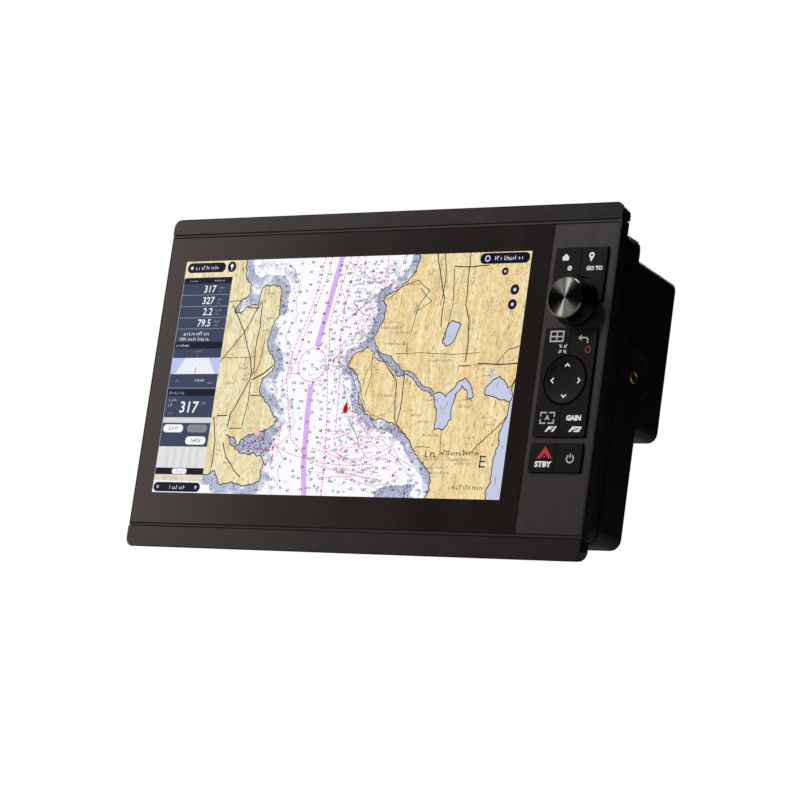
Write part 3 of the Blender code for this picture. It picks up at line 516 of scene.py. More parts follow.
def rough_line(points, rng, levels=3, amount=0.16):
    """A line made irregular by moving the middle of each stretch sideways, again and again."""
    for _ in range(levels):
        made = [points[0]]
        for (x0, z0), (x1, z1) in zip(points, points[1:]):
            push = rng.uniform(-amount, amount)
            made.append(((x0 + x1) / 2 - (z1 - z0) * push, (z0 + z1) / 2 + (x1 - x0) * push))
            made.append((x1, z1))
        points = made
    return points


def ashore(x, z, lands):
    return any(inside(x, z, land) for land in lands)


def inside(x, z, polygon):
    found = False
    for (x0, z0), (x1, z1) in zip(polygon, polygon[1:] + polygon[:1]):
        if (z0 > z) != (z1 > z) and x < x0 + (z - z0) / (z1 - z0) * (x1 - x0):
            found = not found
    return found


def cut(points, faces):
    """Cuts overlapping flat shapes into triangles, and finds the last shape drawn over each."""
    flat, _, pieces, _, _, sources = delaunay_2d_cdt(points, [], faces, INSIDE_FACES, SAME_POINT, True)
    outlines = [[points[i].to_tuple() for i in face] for face in faces]
    triangles, tops, used = [], [], {}
    for piece, source in zip(pieces, sources):
        x, z = sum(flat[i].x for i in piece) / 3, sum(flat[i].y for i in piece) / 3
        for index in sorted(source, reverse=True):
            if len(outlines[index]) > LONG_OUTLINE or inside(x, z, outlines[index]):
                triangles.append([used.setdefault(i, len(used)) for i in piece])
                tops.append(index)
                break
    return [flat[i] for i in used], triangles, tops


def rim(triangles):
    """The edges that only one triangle has."""
    edges = {(t[i], t[(i + 1) % 3]) for t in triangles for i in range(3)}
    return [(a, b) for a, b in sorted(edges) if (b, a) not in edges]


def band(points, width):
    """The outer edges of a band of this width along a line, one outline for each separate stretch."""
    drawn = Picture()
    drawn.stroke(points, width, (0, 0, 0), round_joins=True)
    flat, triangles, _ = cut(drawn.points, drawn.faces)
    onward = dict(rim(triangles))
    outlines = []
    while onward:
        start, at = onward.popitem()
        loop = [flat[start].to_tuple()]
        while at in onward:
            place = flat[at].to_tuple()
            if math.dist(place, loop[-1]) > SHORE_STEP:
                loop.append(place)
            at = onward.pop(at)
        if signed_area(loop) > SMALLEST_LOOP:
            outlines.append(loop)
    return outlines


DEEP_INK = (250, 249, 253)
WEST_INK = (244, 236, 198)
EAST_INK = (247, 229, 182)
LAKE_INK = (198, 204, 228)
SHOAL_INK = (190, 198, 222)
EDGE_INK = (64, 66, 70)
ROAD_INK = (54, 50, 46)
PINK = (232, 104, 156)
LANE_INK = (217, 178, 244)

WEST_COAST = [(37, 112), (38, 104), (42, 100), (42, 96), (38, 93), (35, 89), (34, 87), (38, 86), (41, 89),
              (48, 90), (49, 98), (52, 99.5), (59, 99), (61, 95), (61, 84), (58, 79), (58, 68), (63, 63),
              (63, 60), (57, 55), (56, 51), (60, 44), (65, 39), (69, 36), (66, 32), (63, 30), (55, 28)]
WEST_HARBOUR = [(55, 28), (51, 26), (48, 23), (45, 27), (40, 28), (44, 23), (47, 21), (52, 19), (63, 18)]
WEST_SOUTH = [(63, 18), (65, 15), (64, 6), (56, 4), (39, 5), (36, 11), (30, 9)]
EAST_COAST = [(138, 112), (137, 106), (135, 102), (130, 98), (125, 94), (121, 91), (123, 86), (122, 81),
              (119, 75), (118, 70), (112, 67), (105, 61), (112, 56), (115, 49), (115, 43), (119, 38),
              (125, 35), (134, 34), (138, 33), (145, 27), (150, 21), (157, 14), (161, 8), (159, 0)]
CANAL = [(118, 71), (121, 66), (126, 64), (131, 61), (135, 57), (140, 57), (146, 53), (151, 49.5), (156, 47)]
LAKE = [(156, 47), (160, 48), (163, 46), (166, 49), (169, 53), (172, 54.5), (175, 52), (177, 48), (178, 46),
        (175, 45), (174, 49), (171, 51), (168, 47), (167, 41), (167.5, 36), (166, 34), (164, 31), (159, 31),
        (159, 40), (157, 44)]
EAST_LAKE = [(183.5, 47.6), (184.2, 50.5), (187, 53.2), (190.6, 55.2), (193.4, 53.6), (195.6, 50.2),
             (197.2, 50.4), (199.2, 54), (199.2, 44), (195, 44.6), (189, 46), (186, 46.6)]
FLATS = [(183.6, 51.2), (183.9, 60.2), (190.4, 56), (187, 53.2)]
SOUTH_LAKE = [(198.6, 45.5), (197.6, 40), (196.2, 34.4), (194.2, 30), (195, 24.4), (193.3, 18.8), (193.2, 11),
              (192.2, 5.4), (191.8, 0)]
BAY = [(130.6, 0), (131.4, 2.6), (137.7, 5), (150, 6.4), (158, 7.4)]
LAGOON = [(120.6, 67.7), (126.6, 61.8), (134.3, 53.7), (135.2, 44.5), (131, 38), (126, 36.8), (119.6, 40),
          (115.6, 46.8), (116, 53.8), (119.1, 62), (120.6, 67.7)]
SHORE_ROAD = [(120.6, 67.7), (126.6, 61.8), (134.3, 53.7), (135.2, 44.5), (136.9, 34.2), (145.4, 26.6)]
BOX_LAKE = [(157, 71), (161, 81), (163, 80), (166, 79), (161, 69.5), (159, 69)]


def draw_water_and_land(picture, rng):
    """Deep water, shoals along the shores, and the land with its lakes."""
    picture.box(0, 0, SCREEN_W, SCREEN_H, DEEP_INK)
    west = rough_line(WEST_COAST, rng) + rough_line(WEST_HARBOUR, rng, 3, 0.22) + rough_line(WEST_SOUTH, rng)
    east = rough_line(EAST_COAST, rng)
    picture.shape(rough_line(BAY, rng) + [(160, 0)], SHOAL_INK, shoal=0.75)
    for coast, reach in ((west, 1.0), (east, 0.85)):
        sparse = coast[::3]
        rings = ((19.6, (172, 178, 200), 0.0), (19, SHOAL_INK, 0.44), (9.5, SHOAL_INK, 0.64))
        for width, ink, shoal in rings:
            for edge in band(sparse, width * reach):
                picture.shape(edge, ink, shoal=shoal)
    for x, z in ((52, 25), (56, 27), (61, 27), (58, 22), (64, 24)):
        picture.disc(x, z, 4.2, SHOAL_INK, shoal=0.8)
    west_land = west + [(0, 9), (0, SCREEN_H)]
    east_land = east + [(SCREEN_W, 0), (SCREEN_W, SCREEN_H)]
    picture.shape(west_land, WEST_INK, land=1.0)
    picture.shape(east_land, EAST_INK, land=1.0)
    for coast in (west, east):
        picture.stroke(coast, 0.5, EDGE_INK)
    canal = rough_line(CANAL, rng)
    wide = len(canal) * 5 // 9
    for reach, width in ((canal[:wide], 3.4), (canal[wide - 1:], 1.7)):
        for edge in band(reach, width):
            picture.shape(edge, SHOAL_INK, shoal=0.72)
    for reach, off in ((canal[2:wide], 1.0), (canal[wide - 1:], 0.55)):
        picture.stroke([(x - 0.7 * off, z - 1.5 * off) for x, z in reach], 0.45, EDGE_INK, dash=(2.1, 0.3))
        picture.stroke([(x + 0.8 * off, z + 1.5 * off) for x, z in reach], 0.45, EDGE_INK, dash=(1.3, 0.25))
    picture.shape(FLATS, (220, 213, 196))
    for lake in (LAKE, EAST_LAKE, BOX_LAKE):
        shore = rough_line(lake + lake[:1], rng, 2, 0.14)[:-1]
        picture.shape(shore, LAKE_INK)
        picture.stroke(shore + shore[:1], 0.5, EDGE_INK)
    shore = rough_line(SOUTH_LAKE, rng)
    picture.shape(shore + [(SCREEN_W, 0), (SCREEN_W, 46)], LAKE_INK)
    picture.stroke(shore, 0.5, EDGE_INK)
    picture.stroke(rough_line(LAGOON, rng, 2, 0.05), 0.3, (116, 116, 68))
    picture.stroke(rough_line(SHORE_ROAD, rng, 2, 0.04), 0.55, (84, 82, 62))
    return west_land, east_land


ROADS = [
    (0.42, (33, 90), (42, 77), (48, 64), (50, 57), (47, 49), (41, 38), (40, 32)),
    (0.36, (50, 92), (42, 77), (30, 63)),
    (0.42, (50, 91), (51, 80), (50, 68), (51, 57)),
    (0.3, (55, 74), (54, 62), (52, 57)),
    (0.5, (51, 54), (57, 57), (62, 61)),
    (0.36, (50, 53), (50, 40), (49, 32)),
    (0.42, (31, 36), (34, 25), (34, 12)),
    (0.42, (39, 24), (42, 17), (48, 11), (52, 8)),
    (0.26, (30, 92), (38, 92)),
    (0.4, (42, 88.6), (49, 88.6)),
    (0.2, (30, 65), (50, 65)),
    (0.4, (33, 37), (39, 37)),
    (0.36, (51, 46.5), (57, 46.5)),
    (0.3, (41, 31), (49, 31)),
    (0.42, (148, 112), (151, 102), (155, 91), (155, 78)),
    (0.3, (152, 112), (154, 103), (153, 88)),
    (0.3, (158, 105), (160, 88), (157, 72)),
    (0.4, (158, 106), (177, 106)),
    (0.4, (166, 112), (167, 88), (170, 81), (171, 62)),
    (0.3, (123, 91), (130, 97), (139, 100), (146, 95), (141, 88), (139, 76)),
    (0.26, (141, 96), (148, 90), (141, 86)),
    (0.22, (132, 66), (150, 66), (178, 66)),
    (0.45, (178, 61), (199, 61)),
    (0.4, (168, 60), (174, 60)),
    (0.42, (138, 58), (139, 45), (138, 34)),
    (0.26, (119, 66), (120, 56), (118, 46)),
    (0.36, (197, 37), (188, 28), (180, 20)),
    (0.3, (188, 61), (193, 67), (199, 69)),
    (0.26, (150, 23), (158, 23)),
    (0.2, (163, 31), (164, 20), (160, 14)),
]
PLACES = [
    (125, 70, 13), (131, 75, 12), (150, 62, 14), (153, 44, 6), (141, 39, 5), (172, 44, 7), (171, 41, 6),
    (168, 17, 12), (170, 20, 9), (160, 11, 10), (181, 55, 6), (42, 59, 5), (36, 52, 4), (54, 83, 4),
    (53, 77, 4), (153, 28, 9), (148, 17, 8), (127, 46, 7), (122, 80, 11), (124, 77.5, 9), (176, 60, 5),
    (178, 58, 4), (150, 34, 6), (146, 37, 5), (184, 36, 6), (186, 33, 5), (176, 27, 6), (154, 13, 8),
    (156, 17, 7), (163, 13.5, 6), (46, 56, 6), (45, 54, 7), (34, 86, 5), (53, 95, 4), (41, 14, 6),
    (36, 20, 3),
]
REGIONS = [(164.5, 19.5, 20, 2.3), (171, 4.2, 19, 2.0), (156, 18.5, 5, 3.0), (173, 15, 8, 1.5),
           (128, 30.5, 9, 1.7), (132, 97.5, 8, 1.4)]
LAND_TICKS = 380
TOWN_PATCHES = 10


def draw_roads(picture, rng, lands):
    """Roads, survey lines and the small dark marks that dot the land."""
    for width, *line in ROADS:
        picture.stroke(rough_line(line, rng, 2, 0.035), width * 1.3, ROAD_INK)
    for _ in range(LAND_TICKS):
        x, z = rng.uniform(BAR_W, SCREEN_W), rng.uniform(2, SCREEN_H)
        if not ashore(x, z, lands):
            continue
        long, lean = rng.uniform(0.7, 4.2), rng.uniform(-0.45, 0.45)
        ink = rng.choice(((150, 112, 72), (112, 92, 66), (214, 140, 100), (96, 88, 70), (70, 66, 58)))
        tick = [(x, z), (x + lean, z + long / 2), (x - lean / 2, z + long)]
        picture.stroke(tick, rng.uniform(0.14, 0.34), ink)
    for x, z, width in PLACES:
        picture.greek(rng, x, z, width, 1.25, (66, 60, 50))
    for x, z, width, height in REGIONS:
        picture.greek(rng, x, z, width, height, (58, 54, 48))
    for line in ([(186.3, 14.2), (186.3, 19.4)], [(186.0, 14.5), (189, 14.5)], [(186.0, 16.9), (188.6, 16.9)],
                 [(186.0, 19.1), (189, 19.1)]):
        picture.stroke(line, 0.66, (52, 50, 46))
    for _ in range(TOWN_PATCHES):
        x, z = rng.uniform(51, 61), rng.uniform(28.5, 31)
        picture.disc(x, z, rng.uniform(0.6, 1.5), rng.choice(((240, 205, 182), (236, 196, 176))), 8)


LANES = ([(93.5, 112), (92, 103), (90, 90), (86.4, 70.5)], [(86, 51), (86.4, 38), (88.5, 14), (91, 0)])
CROSSING = (85, 61)
LIMITS = [
    (0.3, (84, 112), (83, 100), (78, 82), (73, 69), (71, 55), (75, 39), (79, 26), (96, 14), (130, 8)),
    (0.26, (88, 112), (86, 100), (82, 88), (77, 72), (75, 62)),
    (0.3, (99, 112), (96, 100), (93, 88), (92, 78), (94, 66), (96, 48), (99, 26), (101, 0)),
    (0.26, (103, 112), (100, 98), (99, 80), (101, 60), (103, 44), (104, 26), (110, 12)),
    (0.24, (107, 112), (108, 104), (114, 100), (121, 99)),
    (0.24, (95, 98), (100, 90), (96, 82)),
    (0.22, (68, 24), (80, 19), (100, 15), (128, 15)),
    (0.22, (100, 22), (112, 17), (126, 18), (138, 24)),
    (0.22, (98, 8), (114, 9), (128, 5), (140, 6)),
    (0.22, (99, 30), (108, 30), (118, 24), (124, 18)),
    (0.24, (106, 70), (110, 84), (118, 92), (122, 100), (120, 112)),
    (0.24, (72, 34), (72, 18)),
    (0.22, (92, 22), (118, 14), (136, 20), (150, 14)),
    (0.22, (70, 62), (78, 62)),
    (0.26, (71, 57), (84, 57)),
    (0.22, (112, 40), (124, 26), (130, 22)),
    (0.24, (108, 66), (104, 56), (106, 48), (112, 38), (126, 26)),
]
BUOYS = [
    (97, 63, (200, 40, 110)), (117, 82, (190, 40, 130)), (66, 14, (200, 50, 120)), (58, 25, (190, 60, 130)),
    (69, 22, (190, 60, 130)), (140, 10, (200, 60, 130)), (124, 98, (210, 80, 70)), (127, 96.5, (210, 80, 70)),
    (140, 30, (220, 90, 70)),
]
CLUSTERS = [(108, 88, 5, 8, 70), (97, 62, 9, 4, 60), (127, 34, 8, 4, 60), (113, 44, 4, 6, 24),
            (126, 10, 16, 5, 70), (112, 72, 4, 6, 30), (118, 104, 7, 5, 30)]

SOUNDING_COLUMNS, SOUNDING_ROWS = 17, 24
SMALL_SOUNDINGS = 330
SHORE_SOUNDINGS = 260
PALE_LINES = 46
HARBOUR_DOTS = 34


def draw_sea_marks(picture, rng, lands):
    """The traffic lane, dashed limits, soundings and small symbols."""
    west, east = lands
    for lane in LANES:
        picture.stroke(lane, 3.0, LANE_INK)
    for width, *line in LIMITS:
        picture.stroke(rough_line(line, rng, 1, 0.03), width * 1.5, PINK, dash=(1.3, 0.6))
    for radius, ink in ((8.0, PINK), (7.7, DEEP_INK)):
        picture.disc(*CROSSING, radius, ink, 40)
    picture.disc(*CROSSING, 0.55, (200, 40, 90))
    for column in range(SOUNDING_COLUMNS):
        for row in range(SOUNDING_ROWS):
            x = 64 + 6.0 * column + rng.uniform(-1.5, 1.5)
            z = 2.4 + 4.6 * row + rng.uniform(-1.3, 1.3)
            if ashore(x, z, lands) or math.dist((x, z), CROSSING) < 3:
                continue
            picture.text(str(rng.randint(3, 138)), x, z, 1.75, (62, 62, 76), bold=0.03)
    for _ in range(SMALL_SOUNDINGS):
        x, z = rng.gauss(108, 15), rng.uniform(1.5, SCREEN_H - 2)
        if ashore(x, z, lands) or x < 90:
            continue
        picture.text(str(rng.randint(3, 98)), x, z, 1.35, (84, 84, 98), bold=0.02)
    for _ in range(SHORE_SOUNDINGS):
        x, z = rng.gauss(48, 13), rng.uniform(1.5, SCREEN_H - 2)
        if BAR_W + 1 < x < 70 and not inside(x, z, west):
            picture.text(str(rng.randint(1, 9)), x, z, 1.4, (70, 72, 90), bold=0.02)
    for centre_x, centre_z, wide, tall, count in CLUSTERS:
        for _ in range(count):
            x, z = rng.gauss(centre_x, wide), rng.gauss(centre_z, tall)
            if ashore(x, z, lands) or not 1 < z < SCREEN_H - 2:
                continue
            ink = rng.choice(((110, 112, 126), (140, 142, 156), (88, 90, 100), (190, 120, 160)))
            picture.greek(rng, x, z, rng.uniform(0.8, 4.5), rng.uniform(0.7, 1.2), ink)
    for _ in range(PALE_LINES):
        x, z = rng.gauss(116, 13), rng.gauss(22, 8)
        if not inside(x, z, east) and 0 < z < SCREEN_H:
            picture.stroke([(x, z), (x + rng.uniform(2, 8), z + rng.uniform(-1, 1))], 0.3, (246, 186, 206))
    for line in ([(106, 62), (112, 50), (120, 38), (128, 30)], [(122, 97), (112, 90), (104, 84)],
                 [(110, 36), (117, 27), (119, 22)], [(104, 90), (111, 84)]):
        picture.stroke(rough_line(line, rng, 1, 0.03), 0.34, (104, 104, 118))
    for x, z, ink in BUOYS:
        picture.disc(x, z, 0.7, ink, 8)
        picture.stroke([(x, z), (x + 1.5, z + 1.8)], 0.35, ink)
    for _ in range(HARBOUR_DOTS):
        x, z = rng.gauss(60, 6), rng.gauss(22, 4)
        if not inside(x, z, west):
            r = rng.uniform(0.35, 0.6)
            picture.disc(x, z, r, rng.choice(((196, 60, 140), (214, 92, 150), (120, 60, 110))), 8)
    picture.shape([(106.6, 38.6), (108.9, 38.2), (109.4, 40.2), (108.2, 44.2), (106.7, 41)], (176, 20, 24))


SLATE = (56, 67, 92)
NAVY = (10, 16, 40)
RULE = (126, 138, 160)
WHITE = (246, 248, 252)
PALE = (170, 178, 194)
DIM = (160, 168, 184)
GREY = (150, 158, 176)

UPPER_BAR = [
    ("words", 4, 101.9, 5, 1.0, (196, 200, 214)),
    ("words", 19, 101.9, 6, 1.0, (196, 200, 214)),
    ("words", 5, 75.8, 15, 1.7, WHITE),
    ("words", 3, 73.2, 17, 1.7, WHITE),
    ("box", 0, 69.3, BAR_W, 72.5, NAVY),
    ("words", 1.5, 70.2, 8, 1.3, (200, 206, 220)),
    ("words", 13, 67.5, 5, 0.9, GREY),
]
LOWER_BAR = [
    ("words", 4, 53.2, 3, 1.0, DIM),
    ("words", 16, 53.4, 6, 1.1, WHITE),
    ("words", 24, 52.2, 3, 0.9, DIM),
    ("box", 0, 50.0, BAR_W, 50.35, RULE),
    ("box", 0, 46.4, BAR_W, 49.6, NAVY),
    ("words", 1.5, 47.2, 9, 1.3, PALE),
    ("box", 0, 36.0, BAR_W, 46.4, SLATE),
    ("text", "317", 9.0, 38.4, 7.6, WHITE, "LEFT", 0.06, 0.012),
    ("words", 2, 43.8, 5, 1.1, (190, 196, 210)),
    ("words", 2, 41.0, 2, 2.2, DIM),
    ("words", 2.5, 37.6, 3, 1.0, DIM),
    ("words", 22.5, 42.3, 2, 1.4, PALE),
    ("box", 0, 33.4, BAR_W, 36.0, (214, 216, 220)),
    ("box", 0, 22.0, BAR_W, 33.4, SLATE),
    ("pill", 1.2, 28.8, 13.4, 32.6, WHITE),
    ("pill", 15.8, 28.8, 28.2, 32.6, (132, 138, 150)),
    ("pill", 15.8, 23.0, 28.2, 26.9, WHITE),
    ("words", 4.6, 29.9, 5.2, 1.7, (40, 46, 66)),
    ("words", 19.8, 30.0, 4.5, 1.5, (96, 102, 116)),
    ("words", 19.2, 24.1, 5.6, 1.8, (40, 46, 66)),
    ("box", 0, 11.8, BAR_W, 22.0, (226, 226, 224)),
    *(("box", x, 12.2, x + 2.2, 21.6, (215, 216, 219)) for x in (5, 9.6, 14.2, 18.8, 23.4)),
    ("box", 0, 8.6, BAR_W, 11.8, NAVY),
    ("pill", 10.5, 8.9, 19.5, 11.5, WHITE),
    ("words", 13, 9.6, 4, 1.2, (60, 66, 84)),
    ("box", 0, 5.6, BAR_W, 8.6, (232, 224, 204), 0.5),
    ("words", 6, 6.3, 8, 1.2, (150, 146, 150)),
    ("box", -0.2, 0, 0.35, 104, (150, 156, 170)),
]
CONTROLS = [
    ("pill", 1.2, 106.4, 24.6, 111.2, NAVY),
    ("disc", 3.9, 108.8, 0.8, WHITE),
    ("words", 6.4, 107.9, 14.5, 1.8, (226, 230, 240)),
    ("disc", 28.4, 108.9, 2.6, NAVY),
    ("disc", 28.4, 109.4, 0.9, WHITE, 12),
    ("stroke", [(28.4, 109), (28.4, 107.4)], 0.45, WHITE),
    ("pill", 0.6, 0.4, BAR_W - 0.6, 4.9, NAVY),
    ("words", 10.5, 1.7, 8.5, 1.8, (222, 226, 238)),
    ("disc", 3.2, 2.7, 0.8, (170, 178, 200)),
    ("disc", 26.4, 2.7, 0.8, (170, 178, 200)),
    ("pill", 171.5, 106.6, 198.4, 111.6, NAVY),
    ("disc", 175.6, 109.1, 1.5, (210, 214, 226)),
    ("disc", 175.6, 109.1, 0.9, NAVY),
    ("words", 179.6, 108.2, 15, 1.9, (228, 232, 242)),
]


def draw_side_bar(picture, rng):
    """The column of readings at the left."""
    picture.box(0, 46, BAR_W, 101.5, SLATE)
    picture.shape([(0, 101), (0, 103.6), (2, 104), (BAR_W, 104), (BAR_W, 101)], NAVY)
    for z in (95.3, 89.7, 84.2, 78.8):
        picture.box(0, z, BAR_W, z + 0.35, RULE)
    for body, z in (("317", 96.6), ("327", 91.0), ("2.2", 85.6), ("79.5", 80.1)):
        picture.text(body, 20.5, z, 4.9, WHITE, "RIGHT", 0.08, 0.012)
        picture.greek(rng, 22.5, z + 1.8, 3.0, 1.0, PALE)
        picture.greek(rng, 22.5, z, 2.0, 1.0, GREY)
    picture.draw(rng, UPPER_BAR)
    draw_road_view(picture)
    picture.draw(rng, LOWER_BAR)


def draw_road_view(picture):
    """The small view of a track running away to the horizon."""
    picture.box(0, 57, BAR_W, 64.8, (184, 198, 240))
    middle_x = BAR_W * 0.52
    picture.shape([(3, 57), (BAR_W - 2, 57), (middle_x + 7, 64.8), (middle_x - 7, 64.8)], (238, 240, 250))
    for i in range(9):
        foot = middle_x + (i - 4) * 3.1
        picture.stroke([(foot, 57), (middle_x + (i - 4) * 1.5, 64.8)], 0.16, (196, 200, 222))
    picture.stroke([(middle_x, 57), (middle_x, 60)], 0.5, (206, 50, 60))
    picture.stroke([(middle_x, 64.8), (middle_x, 66.4)], 0.4, (206, 50, 60))


def draw_controls(picture, rng):
    """Rounded buttons laid over the chart."""
    picture.draw(rng, CONTROLS)
    for x, z, r in ((186, 103, 1.8), (192.5, 94.5, 2.4), (192.2, 87.8, 2.4)):
        picture.disc(x, z, r, (22, 26, 44))
        picture.disc(x, z, r * 0.36, (198, 204, 220), 10)


def screen_picture():
    rng = random.Random(41)
    picture = Picture()
    lands = draw_water_and_land(picture, rng)
    draw_roads(picture, rng, lands)
    draw_sea_marks(picture, rng, lands)
    draw_side_bar(picture, rng)
    draw_controls(picture, rng)
    made = new_object("screen_picture", picture.mesh("screen_picture"))
    made.data.materials.append(lit_picture().mat)
    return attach(made, "case")


# ---- marks printed on the keys


class Print:
    """Thin raised ink on a node's front, as one closed body. Positions are in millimetres across and up."""

    def __init__(self, name, node, body, finish, slot):
        self.name, self.node, self.body, self.finish, self.slot = name, NODES[node], body, finish, slot
        self.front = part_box(node)[0].y
        self.points, self.faces = [], []

    def shape(self, points):
        start = len(self.points)
        self.points += [Vector(p) for p in (points if signed_area(points) > 0 else points[::-1])]
        self.faces.append(list(range(start, start + len(points))))

    def stroke(self, points, width, closed=False):
        """A line of even width with mitred corners."""
        left, right = offset(points, width / 2, closed), offset(points, -width / 2, closed)
        for i in range(len(points) if closed else len(points) - 1):
            j = (i + 1) % len(points)
            self.shape([left[i], left[j], right[j], right[i]])

    def ring(self, x, z, r, width, start=0, sweep=360, steps=28):
        closed = sweep >= 360
        count = steps if closed else steps + 1
        points = []
        for i in range(count):
            a = math.radians(start + sweep * i / steps)
            points.append((x + r * math.cos(a), z + r * math.sin(a)))
        self.stroke(points, width, closed)

    def text(self, body, x, z, size, slant, bold, wide=1.0):
        for polygon in glyphs(body, size, "CENTER", slant, bold):
            self.shape([(x + px * wide, z + pz) for px, pz in polygon])

    def skin(self, x, z):
        """How far front the node's surface is at this place."""
        back = self.node.matrix_world.inverted()
        ray = back.to_3x3() @ Vector((0, 1, 0))
        hit, place, _, _ = self.node.ray_cast(back @ Vector((x * MM, self.front - RAY_START, z * MM)), ray)
        return (self.node.matrix_world @ place).y if hit else self.front

    def make(self):
        flat, triangles, _ = cut(self.points, self.faces)
        count = len(flat)
        backs = [self.skin(p.x, p.y) - INK_SUNK * MM for p in flat]
        points = [(p.x * MM, y - INK_THICK * MM, p.y * MM) for p, y in zip(flat, backs)]
        points += [(p.x * MM, y, p.y * MM) for p, y in zip(flat, backs)]
        faces = [list(t) for t in triangles] + [[i + count for i in reversed(t)] for t in triangles]
        faces += [[b, a, a + count, b + count] for a, b in rim(triangles)]
        mesh = bpy.data.meshes.new(self.name)
        mesh.from_pydata(points, [], faces)
        mesh.materials.append(self.finish.mat)
        made = new_object(self.name, mesh)
        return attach(made, self.body)


def offset(points, by, closed):
    """The line moved sideways by this much, with mitred corners."""
    made, n = [], len(points)
    for i, (x, z) in enumerate(points):
        ahead = points[(i + 1) % n] if closed or i < n - 1 else None
        behind = points[i - 1] if closed or i > 0 else None
        sides = []
        for a, b in ((behind, (x, z)), ((x, z), ahead)):
            if a is not None and b is not None:
                length = math.hypot(b[0] - a[0], b[1] - a[1])
                sides.append((-(b[1] - a[1]) / length, (b[0] - a[0]) / length))
        nx, nz = sum(s[0] for s in sides), sum(s[1] for s in sides)
        scale = by * len(sides) / max(nx * nx + nz * nz, SHARPEST_MITRE) if len(sides) == 2 else by
        made.append((x + nx * scale, z + nz * scale))
    return made


def key_print(name, finish, suffix="mark"):
    return Print(f"{name}_{suffix}", name, name, finish, "keys")


def painted_seam_shadows():
    """Painted shadow: thin black strips in the joints above and below the glass and the trims, standing for
    the shade inside the gaps.
    """
    # Painted shade: these black strips stand in for the shadow that falls inside the joints.
    seam_shadow_finish = textured("painted_seam_shadow", (0.0035, 0.0035, 0.0035), 0.75, grain=1800, depth=3e-5,
                    Specular_IOR_Level=0.15)
    for name, z, width in (("glass_seam_shadow_low", 11.25, 0.6), ("glass_seam_shadow_high", 149.88, 0.56),
                           ("trim_seam_shadow_low", 9.91, 0.56), ("trim_seam_shadow_high", 151.2, 0.52)):
        line = Print(name, "front_glass", "case", seam_shadow_finish, "rubber")
        line.stroke([(-126.6, z), (126.6, z)], width)
        line.make()


